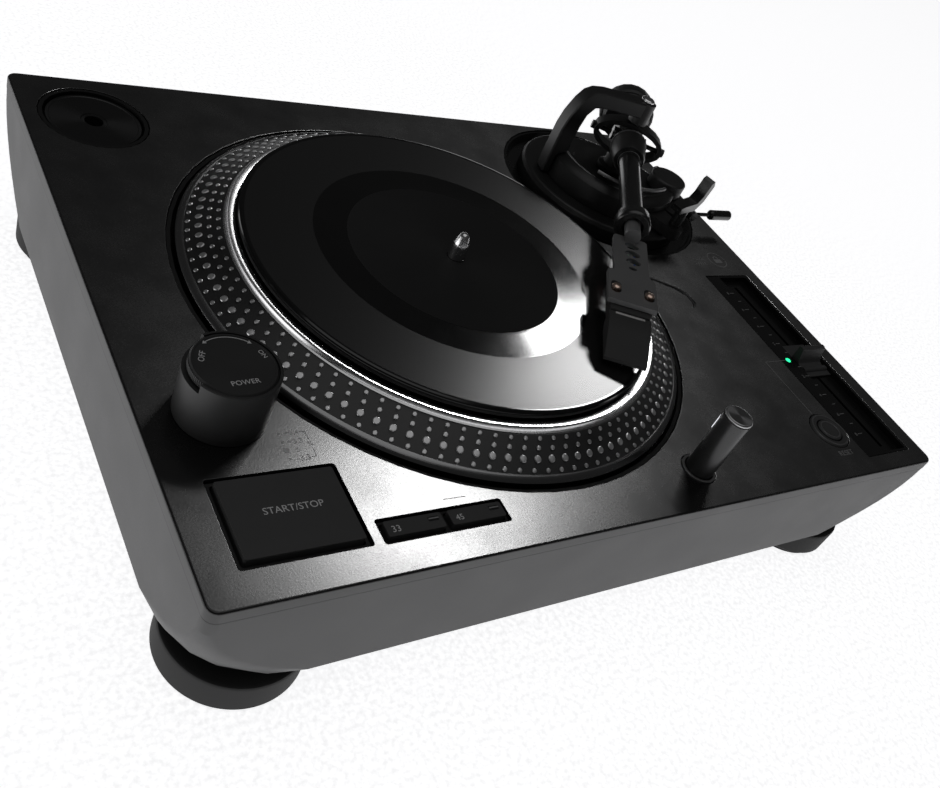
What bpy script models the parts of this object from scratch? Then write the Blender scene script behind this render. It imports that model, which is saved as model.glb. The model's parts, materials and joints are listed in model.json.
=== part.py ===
"""Compact seven-inch turntable record player, modelled as separate working pieces.

Metres, +Z up, +Y towards the back. The origin lies under the middle of the deck,
at the height of the feet's undersides.
"""

import math

import bmesh
import bpy
from mathutils import Matrix, Vector

# Clearances
GAP = 0.0003
SLIDE_GAP = 0.0005

# Plinth
DECK_LENGTH = 0.3464
DECK_WIDTH = 0.2642
DECK_THICK = 0.005
DECK_CORNER = 0.004
BODY_DEPTH = 0.046
BODY_WALL = 0.004
BODY_FLOOR = 0.004
BODY_DRAFT = 0.001
BODY_BOTTOM_CORNER = 0.041
CORNER_START = 0.006
CORNER_POWER = 2.1
FOOT_HEIGHT = 0.015
FOOT_RADIUS = 0.0256
FOOT_NECK = 0.006
FOOT_NECK_RADIUS = 0.019
FOOT_INSET_X = 0.0298
FOOT_INSET_Y = 0.0275
PAD_HEIGHT = 0.0018
COVER_LENGTH = 0.200
COVER_WIDTH = 0.130

# Sockets in the back wall
LINE_JACK_X = -0.120
JACK_SPACING = 0.022
POWER_JACK_X = 0.120
JACK_RADIUS = 0.0057
JACK_RISE = 0.020

# Drive and platter, measured from the top of the deck
SPINDLE_X = -0.0316
SPINDLE_Y = -0.0024
PLATTER_RADIUS = 0.1077
PLATTER_GAP = 0.0015
PAN_WALL = 0.0015
PAN_DEPTH = 0.015
PAN_FLOOR = 0.002
RIM_HEIGHT = 0.0010
SKIRT_DEPTH = 0.009
BAND_RADIUS = 0.0920
BAND_HEIGHT = 0.0088
TOP_RADIUS = 0.0906
TOP_HEIGHT = 0.0111
PLATTER_WALL = 0.004
MAT_RADIUS = 0.0880
MAT_THICK = 0.0012
RECORD_RADIUS = 0.0873
RECORD_THICK = 0.0015
SPINDLE_RADIUS = 0.0036
SPINDLE_ABOVE = 0.0115
SHAFT_RADIUS = 0.005
SHAFT_HOLE_GAP = 0.0004
MAGNET_RADIUS = 0.060
STATOR_RADIUS = 0.048

# Controls, placed from the middle of the deck
ADAPTER_X = -0.1455
ADAPTER_Y = 0.1030
ADAPTER_RADIUS = 0.0191
ADAPTER_THICK = 0.005
ADAPTER_CUP_WALL = 0.0016
LAMP_HOUSING_X = -0.1471
LAMP_HOUSING_Y = -0.0619
LAMP_HOUSING_RADIUS = 0.0150
LAMP_HOUSING_HEIGHT = 0.0175
POWER_CAP_HEIGHT = 0.0033
START_X = -0.1396
START_Y = -0.1040
START_LENGTH = 0.0383
START_WIDTH = 0.0282
START_RECESS_MARGIN = 0.0021
SPEED_X = -0.0908
SPEED_Y = -0.1161
SPEED_LENGTH = 0.0208
SPEED_WIDTH = 0.0058
SPEED_SPACING = 0.0235
SPEED_RECESS_MARGIN = 0.0017
START_RISE = 0.0014
SPEED_RISE = 0.0010
BUTTON_TRAVEL = 0.0012
FRAME_SINK = 0.0012
FRAME_FLOOR = 0.0049
RESET_X = 0.1214
RESET_Y = -0.1062
RESET_RING_RADIUS = 0.0098
RESET_BUTTON_RADIUS = 0.0060
TARGET_X = 0.0287
TARGET_Y = -0.1139
TARGET_RADIUS = 0.0057
TARGET_SLEEVE_RADIUS = 0.0073
TARGET_HEIGHT = 0.0300
TARGET_HIDDEN = 0.006
FADER_X = 0.1480
FADER_Y = -0.0614
FADER_LENGTH = 0.1243
FADER_WIDTH = 0.0319
TROUGH_OFFSET = 0.0041
TROUGH_WIDTH = 0.0206
TROUGH_LENGTH = 0.1215
TROUGH_DEPTH = 0.003
SLOT_WIDTH = 0.0018
SLOT_LENGTH = 0.112
CAP_OFFSET = -0.0027
CAP_WIDTH = 0.0172
CAP_LENGTH = 0.0105
CAP_TOP = 0.0065
CAP_PLATE_BACK = 0.0135
CAP_PLATE_FRONT = 0.0080
LED_X = 0.1374
LED_Y = -0.0616
LED_RADIUS = 0.0014

# Tonearm, placed from the middle of the deck and the top of the deck
PIVOT_X = 0.1104
PIVOT_Y = 0.0731
ARM_ANGLE = math.radians(234.5)
ARM_RISE = 0.0318
ARM_OPENING_RADIUS = 0.0560
DISH_DEPTH = 0.0042
HEIGHT_RING_RADIUS = 0.0468
HEIGHT_RING_TOP = 0.0046
BASE_RADIUS = 0.0360
BASE_SHOULDER = 0.0150
BASE_TOP = 0.0180
BASE_FLOOR = 0.0125
BASE_FLOOR_RADIUS = 0.0280
BASE_STEM_RADIUS = 0.0160
REAR_TOP = 0.0052
ARCH_ANGLE = math.radians(166)
ARCH_RADIUS = 0.0405
ARCH_TOP = 0.0534
ARCH_WIDTH = 0.0090
ARCH_THICK = 0.0077
BOSS_RADIUS = 0.0050
BOSS_DROP = 0.0037
YOKE_HALF_WIDTH = 0.0190
YOKE_HALF_HEIGHT = 0.0096
YOKE_WALL = 0.0024
YOKE_WIDTH = 0.0085
TUBE_RADIUS = 0.0052
TUBE_THICK_RADIUS = 0.0070
TUBE_END = 0.0915
BEARING_RADIUS = 0.0060
SHELL_BACK = 0.0985
SHELL_STEP = 0.1295
SHELL_FRONT = 0.1515
SHELL_WIDTH = 0.0154
SHELL_FRONT_WIDTH = 0.0210
SHELL_THICK = 0.0022
SHELL_DROP = 0.0028
PLUG_RADIUS = 0.0036
SHELL_ROLL = math.radians(6.0)
STYLUS_REACH = 0.1765
STYLUS_CLEAR = 0.0004
SCREW_SPACING = 0.0143
SCREW_REACH = 0.1420
WEIGHT_RADIUS = 0.0146
WEIGHT_START = 0.0290
WEIGHT_END = 0.0440
SHAFT_RADIUS_REAR = 0.0040
REAR_END = -0.0436
DIAL_REACH = 0.0315
DIAL_ANGLE = math.radians(-27.4)
DIAL_RADIUS = 0.0100
DIAL_TOP = 0.0200
LEVER_REACH = 0.0480
LEVER_ANGLE = math.radians(-50)
LEVER_RISE = 0.0125
BOW_RADIUS = 0.0310
BOW_HEIGHT = 0.0215
BARREL_TOP = 0.0200
CUE_ANGLE = math.radians(258)
REST_RADIUS = 0.0470
REST_ANGLE = math.radians(285)
REST_TIP = 0.0385

WIDE_ROUND = 60
ROUND = 40
SMALL_ROUND = 20

# Heights that follow from the sizes above
BODY_BOTTOM = FOOT_HEIGHT + FOOT_NECK
DECK_TOP = BODY_BOTTOM + BODY_DEPTH
DECK_UNDER = DECK_TOP - DECK_THICK
WELL_RADIUS = PLATTER_RADIUS + PLATTER_GAP + PAN_WALL + GAP
MAT_BOTTOM = TOP_HEIGHT + GAP
RECORD_BOTTOM = MAT_BOTTOM + MAT_THICK + GAP
RECORD_TOP = RECORD_BOTTOM + RECORD_THICK
PAN_BOTTOM = -PAN_DEPTH
JACK_HEIGHT = BODY_BOTTOM + JACK_RISE
YOKE_TOP = ARM_RISE + YOKE_HALF_HEIGHT

PARTS = "turntable"
CUTTERS = "cutters"


def clear_scene():
    """Remove the objects that are already there."""
    for item in list(bpy.data.objects):
        bpy.data.objects.remove(item, do_unlink=True)


def collection(name):
    """The collection of that name, made and linked when it is missing."""
    found = bpy.data.collections.get(name)
    if found is None:
        found = bpy.data.collections.new(name)
        bpy.context.scene.collection.children.link(found)
    return found


def material(name, colour, roughness, metallic=0.0):
    """A Principled material."""
    found = bpy.data.materials.get(name)
    if found is None:
        found = bpy.data.materials.new(name)
        found.use_nodes = True
        shader = found.node_tree.nodes["Principled BSDF"]
        shader.inputs["Base Color"].default_value = (*colour, 1.0)
        shader.inputs["Roughness"].default_value = roughness
        shader.inputs["Metallic"].default_value = metallic
    return found


def link(name, data, finish=None, group=PARTS):
    """A new object in the group, with its material."""
    item = bpy.data.objects.new(name, data)
    collection(group).objects.link(item)
    if finish is not None:
        data.materials.append(finish)
    if group == CUTTERS:
        item.hide_render = True
        item.display_type = "WIRE"
    return item


def place(item, location=(0, 0, 0), turn=0.0, parent=None):
    """Put an object at a point, turned about Z, under an optional parent."""
    item.location = location
    item.rotation_euler = (0, 0, turn)
    item.parent = parent
    return item


def empty(name, location, turn=0.0, parent=None):
    """An empty that carries pieces."""
    item = bpy.data.objects.new(name, None)
    collection(PARTS).objects.link(item)
    return place(item, location, turn, parent)


def solid(name, build, finish, group=PARTS):
    """An object from a bmesh that the function build fills."""
    mesh = bpy.data.meshes.new(name)
    shape = bmesh.new()
    build(shape)
    bmesh.ops.recalc_face_normals(shape, faces=shape.faces)
    shape.to_mesh(mesh)
    shape.free()
    return link(name, mesh, finish, group)


def block(name, low, high, finish=None, group=PARTS):
    """A box between two corners."""
    low = Vector(low)
    high = Vector(high)

    def build(shape):
        bmesh.ops.create_cube(shape, size=1.0)
        bmesh.ops.scale(shape, vec=high - low, verts=shape.verts)
        bmesh.ops.translate(shape, vec=(low + high) / 2, verts=shape.verts)

    return solid(name, build, finish, group)


def turned(name, profile, finish=None, steps=SMALL_ROUND, group=PARTS, along=None):
    """A turned piece about Z, or about X when along is "X". The profile is (radius, height)
    from the top of its outer side downwards; it starts and ends on the axis, or closes as a ring."""
    ring = profile[0][0] > 0
    mesh = bpy.data.meshes.new(name)
    points = [(radius, 0.0, height) for radius, height in profile]
    edges = [(i, i + 1) for i in range(len(points) - 1)]
    if ring:
        edges.append((len(points) - 1, 0))
    mesh.from_pydata(points, edges, [])
    item = link(name, mesh, finish, group)
    screw = item.modifiers.new("turn", "SCREW")
    screw.axis = "Z"
    screw.steps = steps
    screw.render_steps = steps
    screw.use_merge_vertices = True
    screw.merge_threshold = 0.00002
    screw.use_normal_calculate = True
    done = settle(item)
    if along == "X":
        done.data.transform(Matrix.Rotation(math.pi / 2, 4, "Y"))
    if along == "Y":
        done.data.transform(Matrix.Rotation(-math.pi / 2, 4, "X"))
    return done


def settle(item):
    """The object with its evaluated mesh, doubles welded, normals outwards, and no modifiers."""
    view = bpy.context.evaluated_depsgraph_get()
    mesh = bpy.data.meshes.new_from_object(item.evaluated_get(view))
    shape = bmesh.new()
    shape.from_mesh(mesh)
    bmesh.ops.remove_doubles(shape, verts=shape.verts, dist=0.00001)
    loose = [edge for edge in shape.edges if not edge.link_faces]
    bmesh.ops.delete(shape, geom=loose, context="EDGES")
    bmesh.ops.recalc_face_normals(shape, faces=shape.faces)
    shape.to_mesh(mesh)
    shape.free()
    name = item.name
    groups = list(item.users_collection)
    matrix = item.matrix_world.copy()
    bpy.data.objects.remove(item, do_unlink=True)
    done = bpy.data.objects.new(name, mesh)
    done.matrix_world = matrix
    for group in groups:
        group.objects.link(done)
        if group.name == CUTTERS:
            done.hide_render = True
            done.display_type = "WIRE"
    return done


def outline_plate(name, outlines, low, high, finish=None, group=PARTS):
    """A flat plate from closed outlines, the first outer and the others holes."""
    curve = bpy.data.curves.new(name, "CURVE")
    curve.dimensions = "2D"
    curve.fill_mode = "BOTH"
    curve.extrude = (high - low) / 2
    for outline in outlines:
        spline = curve.splines.new("POLY")
        spline.points.add(len(outline) - 1)
        for point, (x, y) in zip(spline.points, outline):
            point.co = (x, y, 0, 1)
        spline.use_cyclic_u = True
    item = link(name, curve, finish, group)
    done = settle(item)
    done.data.transform(Matrix.Translation((0, 0, (low + high) / 2)))
    return done


def wire(name, points, radius, finish, sides=2):
    """A round bar along points, as a mesh with closed ends."""
    curve = bpy.data.curves.new(name, "CURVE")
    curve.dimensions = "3D"
    curve.bevel_depth = radius
    curve.bevel_resolution = sides
    curve.use_fill_caps = True
    spline = curve.splines.new("POLY")
    spline.points.add(len(points) - 1)
    for point, place_at in zip(spline.points, points):
        point.co = (*place_at, 1)
    return settle(link(name, curve, finish))


def rounded(length, width, radius, steps=5, x=0.0, y=0.0):
    """The corner-rounded rectangle's outline, counter-clockwise."""
    points = []
    for cx, cy, start in ((1, 1, 0), (-1, 1, 90), (-1, -1, 180), (1, -1, 270)):
        for k in range(steps + 1):
            angle = math.radians(start + 90 * k / steps)
            px = cx * (length / 2 - radius) + radius * math.cos(angle)
            py = cy * (width / 2 - radius) + radius * math.sin(angle)
            points.append((x + px, y + py))
    return points


def circle(radius, x=0.0, y=0.0, steps=SMALL_ROUND):
    """A circle's outline, counter-clockwise."""
    turn = 2 * math.pi / steps
    return [(x + radius * math.cos(k * turn), y + radius * math.sin(k * turn)) for k in range(steps)]


def arc(radius, start, end, steps, x=0.0, y=0.0):
    """Points along an arc, angles in radians."""
    span = end - start
    return [
        (x + radius * math.cos(start + span * k / steps), y + radius * math.sin(start + span * k / steps))
        for k in range(steps + 1)
    ]


def combine(item, other, operation):
    """Cut or join two meshes exactly and keep the first."""
    bpy.context.view_layer.update()
    change = item.modifiers.new(operation.lower(), "BOOLEAN")
    change.operation = operation
    change.solver = "EXACT"
    change.object = other
    bpy.context.view_layer.update()
    done = settle(item)
    bpy.data.objects.remove(other, do_unlink=True)
    return done


def cut(item, *others):
    """The item less the others."""
    for other in others:
        item = combine(item, other, "DIFFERENCE")
    return item


def join(item, *others):
    """The item and the others as one body."""
    for other in others:
        item = combine(item, other, "UNION")
    return item


def bevel(item, width, segments=1, angle=50):
    """Rounded edges, settled into the mesh."""
    bpy.context.view_layer.update()
    change = item.modifiers.new("edge", "BEVEL")
    change.width = width
    change.segments = segments
    change.limit_method = "ANGLE"
    change.angle_limit = math.radians(angle)
    return settle(item)


def finish_rounds():
    """Shade every piece smooth with sharp edges kept."""
    for item in collection(PARTS).objects:
        if item.type == "MESH":
            item.data.shade_smooth()
            item.data.set_sharp_from_angle(angle=math.radians(35))


def slab(name, length, width, low, high, radius, finish=None, x=0.0, y=0.0, holes=(), group=PARTS):
    """A corner-rounded plate centred on x, y with hole outlines."""
    outlines = [rounded(length, width, radius, x=x, y=y), *holes]
    return outline_plate(name, outlines, low, high, finish, group)


def extruded(name, profile, half, finish=None):
    """A closed x, z outline pulled from -half to half across Y."""
    count = len(profile)

    def build(shape):
        sides = [[shape.verts.new((x, y, z)) for x, z in profile] for y in (-half, half)]
        for k in range(count):
            after = (k + 1) % count
            shape.faces.new((sides[0][k], sides[0][after], sides[1][after], sides[1][k]))
        for side in sides:
            shape.faces.new(side)

    return solid(name, build, finish)


def cylinder(name, radius, low, high, finish=None, steps=SMALL_ROUND, x=0.0, y=0.0, group=PARTS):
    """An upright cylinder at x, y, its mesh around its own axis."""
    item = turned(name, [(0, high), (radius, high), (radius, low), (0, low)], finish, steps, group)
    item.location = (x, y, 0)
    return item


# Finishes
BLACK_PAINT = material("black_paint", (0.035, 0.035, 0.036), 0.45)
BODY_PAINT = material("body_paint", (0.16, 0.16, 0.16), 0.5)
DARK_PLASTIC = material("dark_plastic", (0.03, 0.03, 0.03), 0.4)
GREY_PLASTIC = material("grey_plastic", (0.09, 0.09, 0.09), 0.5)
RUBBER = material("rubber", (0.02, 0.02, 0.02), 0.8)
SILVER = material("silver", (0.8, 0.8, 0.8), 0.25, 1.0)
SATIN = material("satin_grey", (0.5, 0.5, 0.5), 0.4, 1.0)
VINYL = material("vinyl", (0.01, 0.01, 0.01), 0.15)
WHITE = material("white_plastic", (0.8, 0.8, 0.78), 0.4)
GREEN = material("green_lamp", (0.05, 0.8, 0.3), 0.3)
GOLD = material("gold", (0.8, 0.6, 0.3), 0.3, 1.0)
BOARD = material("board", (0.03, 0.16, 0.07), 0.6)
COPPER = material("copper", (0.7, 0.35, 0.2), 0.35, 1.0)


def corner_radius(depth):
    """The plinth's corner radius, growing from the deck's towards the bottom's."""
    span = BODY_DEPTH - CORNER_START
    share = max(0.0, depth - CORNER_START) / span
    return DECK_CORNER + (BODY_BOTTOM_CORNER - DECK_CORNER) * share**CORNER_POWER


def plinth_shape(name, wall, top, bottom, finish=None, group=PARTS):
    """A loft of corner-rounded sections whose corner radius grows with depth."""
    levels = 7
    around = 5

    def build(shape):
        rows = []
        for level in range(levels + 1):
            depth = top + (bottom - top) * level / levels
            shrink = wall + BODY_DRAFT * max(0.0, depth) / BODY_DEPTH
            radius = max(corner_radius(min(depth, BODY_DEPTH)) - wall, 0.001)
            length = DECK_LENGTH - 2 * shrink
            width = DECK_WIDTH - 2 * shrink
            points = rounded(length, width, radius, around)
            rows.append([shape.verts.new((x, y, DECK_TOP - depth)) for x, y in points])
        count = len(rows[0])
        for upper, lower in zip(rows, rows[1:]):
            for k in range(count):
                after = (k + 1) % count
                shape.faces.new((upper[k], upper[after], lower[after], lower[k]))
        shape.faces.new(rows[0])
        shape.faces.new(rows[-1])

    return solid(name, build, finish, group)


def control_openings():
    """The outlines of the deck's openings for the controls."""
    start_length = START_LENGTH + 2 * START_RECESS_MARGIN
    start_width = START_WIDTH + 2 * START_RECESS_MARGIN
    speed_length = SPEED_LENGTH + SPEED_SPACING + 2 * SPEED_RECESS_MARGIN
    speed_width = SPEED_WIDTH + 2 * SPEED_RECESS_MARGIN
    return [
        circle(ADAPTER_RADIUS + SLIDE_GAP + ADAPTER_CUP_WALL + GAP, ADAPTER_X, ADAPTER_Y, 28),
        rounded(start_length, start_width, 0.001, 3, START_X, START_Y),
        rounded(speed_length, speed_width, 0.0008, 3, SPEED_X, SPEED_Y),
        circle(RESET_RING_RADIUS + GAP, RESET_X, RESET_Y),
        circle(TARGET_SLEEVE_RADIUS + GAP, TARGET_X, TARGET_Y),
        rounded(FADER_WIDTH, FADER_LENGTH, 0.0008, 3, FADER_X, FADER_Y),
    ]


def make_plinth():
    """The deck plate, the plinth shell, its service cover and the four feet."""
    deck = slab(
        "deck_plate", DECK_LENGTH, DECK_WIDTH, DECK_UNDER, DECK_TOP, DECK_CORNER, BLACK_PAINT,
        holes=control_openings(),
    )
    well = cylinder("well", WELL_RADIUS, DECK_UNDER - 0.01, DECK_TOP + 0.01, None, WIDE_ROUND,
                    SPINDLE_X, SPINDLE_Y, CUTTERS)
    arm_hole = cylinder("arm_hole", ARM_OPENING_RADIUS, DECK_UNDER - 0.01, DECK_TOP + 0.01, None,
                        ROUND, PIVOT_X, PIVOT_Y, CUTTERS)
    deck = cut(deck, well, arm_hole)

    top = DECK_THICK + GAP
    shell = plinth_shape("plinth_shell", 0.0, top, BODY_DEPTH, BODY_PAINT)
    hollow = plinth_shape("hollow", BODY_WALL, 0.0, BODY_DEPTH - BODY_FLOOR, None, CUTTERS)
    hatch = slab("hatch", COVER_LENGTH, COVER_WIDTH, BODY_BOTTOM - 0.01, BODY_BOTTOM + 0.02, 0.008,
                 group=CUTTERS)
    shell = cut(shell, hollow, hatch)
    back = DECK_WIDTH / 2
    for k, x in enumerate((LINE_JACK_X, LINE_JACK_X + JACK_SPACING, POWER_JACK_X)):
        radius = JACK_RADIUS + GAP
        hole = turned(f"jack_hole_{k}", [(0, 0.02), (radius, 0.02), (radius, -0.02), (0, -0.02)],
                      None, SMALL_ROUND, CUTTERS, "Y")
        hole.location = (x, back - BODY_WALL, JACK_HEIGHT)
        shell = cut(shell, hole)

    margin = GAP + SLIDE_GAP
    cover = slab("service_cover", COVER_LENGTH - 2 * margin, COVER_WIDTH - 2 * margin,
                 BODY_BOTTOM + 0.0005, BODY_BOTTOM + 0.003, 0.007, DARK_PLASTIC)
    lip = slab("cover_lip", COVER_LENGTH + 0.012, COVER_WIDTH + 0.012,
               BODY_BOTTOM + BODY_FLOOR + GAP, BODY_BOTTOM + BODY_FLOOR + 0.0018, 0.010)
    riser = slab("cover_riser", COVER_LENGTH - 2 * margin - 0.004, COVER_WIDTH - 2 * margin - 0.004,
                 BODY_BOTTOM + 0.002, BODY_BOTTOM + BODY_FLOOR + 0.001, 0.006)
    join(cover, riser, lip)

    for side_x, across in ((-1, "left"), (1, "right")):
        for side_y, along in ((-1, "front"), (1, "back")):
            make_foot(f"{along}_{across}", side_x, side_y)


def make_foot(name, side_x, side_y):
    """An isolating foot: the round body, its rubber tread and the neck screwed into the plinth."""
    soft = 0.0006
    foot = turned(
        f"foot_{name}",
        [
            (0, BODY_BOTTOM - GAP),
            (FOOT_NECK_RADIUS, BODY_BOTTOM - GAP),
            (FOOT_NECK_RADIUS, FOOT_HEIGHT),
            (FOOT_RADIUS - soft, FOOT_HEIGHT),
            (FOOT_RADIUS, FOOT_HEIGHT - soft),
            (FOOT_RADIUS - soft, PAD_HEIGHT),
            (FOOT_RADIUS - 0.002, PAD_HEIGHT),
            (FOOT_RADIUS - 0.002, 0.0),
            (0, 0.0),
        ],
        BODY_PAINT, 22,
    )
    x = side_x * (DECK_LENGTH / 2 - FOOT_INSET_X)
    y = side_y * (DECK_WIDTH / 2 - FOOT_INSET_Y)
    foot.location = (x, y, 0)


def make_rear_jacks():
    """The plate with the two line sockets, and the power socket, in the back wall."""
    line = join(jack("line_jacks", 0.0, 0.0016, SILVER), jack("other", JACK_SPACING, 0.0016, None))
    inside = -BODY_WALL - BODY_DRAFT - GAP
    plate = block("jack_plate", (-0.009, inside - 0.0016, -0.008),
                  (JACK_SPACING + 0.009, inside, 0.008))
    line = join(plate_bored(plate), line)
    line.name = "line_jacks"
    line.data.materials.clear()
    line.data.materials.append(SILVER)
    line.location = (LINE_JACK_X, DECK_WIDTH / 2, JACK_HEIGHT)
    socket = jack("power_socket", 0.0, 0.0027, DARK_PLASTIC)
    socket.location = (POWER_JACK_X, DECK_WIDTH / 2, JACK_HEIGHT)


def plate_bored(plate):
    """The jack plate with round holes, smaller than the sockets' barrels."""
    radius = JACK_RADIUS - 0.0012
    for x in (0.0, JACK_SPACING):
        bore = turned("bore", [(0, 0.02), (radius, 0.02), (radius, -0.02), (0, -0.02)], None, 14,
                      CUTTERS, "Y")
        bore.location = (x, 0, 0)
        plate = cut(plate, bore)
    return plate


def jack(name, x, bore, finish):
    """A round socket in the back wall, open outwards."""
    face = -BODY_DRAFT - 0.0004
    barrel = turned(
        name,
        [
            (bore, face),
            (JACK_RADIUS - 0.0015, face),
            (JACK_RADIUS - 0.0015, face - 0.0012),
            (JACK_RADIUS, face - 0.0015),
            (JACK_RADIUS, face - 0.0165),
            (0, face - 0.0165),
            (0, face - 0.0120),
            (bore, face - 0.0120),
        ],
        finish, 14, PARTS, "Y",
    )
    barrel.location = (x, 0, 0)
    return barrel


def make_drive():
    """The motor pan, stator, bearing, rotor magnet, platter, mat, record and spindle."""
    centre = (SPINDLE_X, SPINDLE_Y, DECK_TOP)
    pan_outer = PLATTER_RADIUS + PLATTER_GAP + PAN_WALL
    pan_inner = PLATTER_RADIUS + PLATTER_GAP
    bearing_radius = 0.011
    pan = turned(
        "motor_pan",
        [
            (pan_outer, -0.0008),
            (pan_outer, PAN_BOTTOM),
            (bearing_radius + GAP, PAN_BOTTOM),
            (bearing_radius + GAP, PAN_BOTTOM + PAN_FLOOR),
            (pan_inner, PAN_BOTTOM + PAN_FLOOR),
            (pan_inner, -0.0008),
        ],
        DARK_PLASTIC, WIDE_ROUND,
    )
    pan.location = centre

    floor = PAN_BOTTOM + PAN_FLOOR
    shaft_bottom = -0.0330
    bore = SHAFT_RADIUS + SHAFT_HOLE_GAP
    bearing = turned(
        "spindle_bearing",
        [
            (bearing_radius, floor + 0.0040),
            (bearing_radius, floor - 0.0180),
            (0, floor - 0.0180),
            (0, shaft_bottom + 0.0040),
            (bore, shaft_bottom + 0.0040),
            (bore, floor + 0.0040),
        ],
        SATIN, SMALL_ROUND,
    )
    bearing.location = centre
    stator = turned(
        "motor_stator",
        [
            (STATOR_RADIUS, floor + 0.0055),
            (STATOR_RADIUS, floor + GAP),
            (0.016, floor + GAP),
            (0.016, floor + 0.0055),
        ],
        COPPER, 28,
    )
    stator.location = centre

    magnet_low = floor + 0.0012
    magnet = turned(
        "rotor_magnet",
        [
            (MAGNET_RADIUS, floor + 0.0100),
            (MAGNET_RADIUS, magnet_low),
            (STATOR_RADIUS + 0.002, magnet_low),
            (STATOR_RADIUS + 0.002, floor + 0.0100),
        ],
        GREY_PLASTIC, 28,
    )
    magnet.location = centre

    under = TOP_HEIGHT - PLATTER_WALL
    hub_low = floor + 0.0100 + GAP
    hub_radius = MAGNET_RADIUS
    shaft_hole = SHAFT_RADIUS + GAP
    platter = turned(
        "platter",
        [
            (shaft_hole, TOP_HEIGHT),
            (TOP_RADIUS, TOP_HEIGHT),
            (TOP_RADIUS + 0.0006, TOP_HEIGHT - 0.0005),
            (BAND_RADIUS, BAND_HEIGHT),
            (PLATTER_RADIUS - 0.0006, RIM_HEIGHT),
            (PLATTER_RADIUS, RIM_HEIGHT - 0.0005),
            (PLATTER_RADIUS, -SKIRT_DEPTH),
            (PLATTER_RADIUS - 0.004, -SKIRT_DEPTH),
            (PLATTER_RADIUS - 0.006, RIM_HEIGHT - 0.004),
            (BAND_RADIUS - 0.004, under),
            (hub_radius, under),
            (hub_radius, hub_low),
            (shaft_hole, hub_low),
        ],
        SATIN, WIDE_ROUND,
    )
    platter.location = centre

    mat_hole = SPINDLE_RADIUS + GAP
    mat = turned(
        "slip_mat",
        [
            (mat_hole, MAT_BOTTOM + MAT_THICK),
            (MAT_RADIUS, MAT_BOTTOM + MAT_THICK),
            (MAT_RADIUS, MAT_BOTTOM),
            (mat_hole, MAT_BOTTOM),
        ],
        RUBBER, 48,
    )
    mat.location = centre
    record = turned(
        "record",
        [
            (mat_hole, RECORD_TOP),
            (RECORD_RADIUS - 0.0008, RECORD_TOP),
            (RECORD_RADIUS, RECORD_TOP - 0.0005),
            (RECORD_RADIUS, RECORD_BOTTOM + 0.0005),
            (RECORD_RADIUS - 0.0008, RECORD_BOTTOM),
            (mat_hole, RECORD_BOTTOM),
        ],
        VINYL, 48,
    )
    record.location = centre
    tip = RECORD_TOP + SPINDLE_ABOVE
    spindle = turned(
        "spindle",
        [
            (0, tip),
            (0.0011, tip - 0.0007),
            (SPINDLE_RADIUS, tip - 0.0052),
            (SPINDLE_RADIUS, MAT_BOTTOM),
            (SHAFT_RADIUS, TOP_HEIGHT - GAP),
            (SHAFT_RADIUS, shaft_bottom + 0.0045),
            (0, shaft_bottom + 0.0045),
        ],
        SILVER, SMALL_ROUND,
    )
    spindle.location = centre


def make_adapter():
    """The large-hole record adapter in its cup."""
    inner = ADAPTER_RADIUS + SLIDE_GAP
    outer = inner + ADAPTER_CUP_WALL
    sink = 0.0012
    floor = -sink - ADAPTER_THICK - GAP
    cup = turned(
        "adapter_cup",
        [
            (inner, -0.0003),
            (outer, -0.0003),
            (outer, floor - 0.0015),
            (0, floor - 0.0015),
            (0, floor),
            (inner, floor),
        ],
        DARK_PLASTIC, 24,
    )
    cup.location = (ADAPTER_X, ADAPTER_Y, DECK_TOP)
    adapter = turned(
        "single_adapter",
        [
            (SPINDLE_RADIUS + GAP, -sink),
            (ADAPTER_RADIUS - 0.0008, -sink - 0.0003),
            (ADAPTER_RADIUS, -sink - 0.0011),
            (ADAPTER_RADIUS, -sink - ADAPTER_THICK),
            (SPINDLE_RADIUS + GAP, -sink - ADAPTER_THICK),
        ],
        BLACK_PAINT, 24,
    )
    adapter.location = (ADAPTER_X, ADAPTER_Y, DECK_TOP)


def make_power_lamp():
    """The strobe lamp housing, its lens towards the platter and the turning power cap."""
    at = (LAMP_HOUSING_X, LAMP_HOUSING_Y, DECK_TOP)
    to_platter = math.atan2(SPINDLE_Y - LAMP_HOUSING_Y, SPINDLE_X - LAMP_HOUSING_X)
    housing = turned(
        "strobe_housing",
        [
            (0, LAMP_HOUSING_HEIGHT),
            (LAMP_HOUSING_RADIUS - 0.0002, LAMP_HOUSING_HEIGHT),
            (LAMP_HOUSING_RADIUS, GAP),
            (0, GAP),
        ],
        BODY_PAINT, 28,
    )
    place(housing, at)
    window = block("window", (LAMP_HOUSING_RADIUS - 0.003, -0.0045, 0.0035),
                   (LAMP_HOUSING_RADIUS + 0.004, 0.0045, 0.0125), None, CUTTERS)
    place(window, at, to_platter)
    cut(housing, window)
    lens = block(
        "strobe_lens",
        (LAMP_HOUSING_RADIUS - 0.003 + GAP, -0.0045 + GAP, 0.0035 + GAP),
        (LAMP_HOUSING_RADIUS - 0.0010, 0.0045 - GAP, 0.0125 - GAP),
        WHITE,
    )
    place(lens, at, to_platter)

    low = LAMP_HOUSING_HEIGHT + GAP
    cap = turned(
        "power_knob",
        [
            (0, low + POWER_CAP_HEIGHT),
            (LAMP_HOUSING_RADIUS - 0.0012, low + POWER_CAP_HEIGHT),
            (LAMP_HOUSING_RADIUS - 0.0002, low + POWER_CAP_HEIGHT - 0.0008),
            (LAMP_HOUSING_RADIUS - 0.0002, low),
            (0, low),
        ],
        GREY_PLASTIC, 28,
    )
    place(cap, at)


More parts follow.
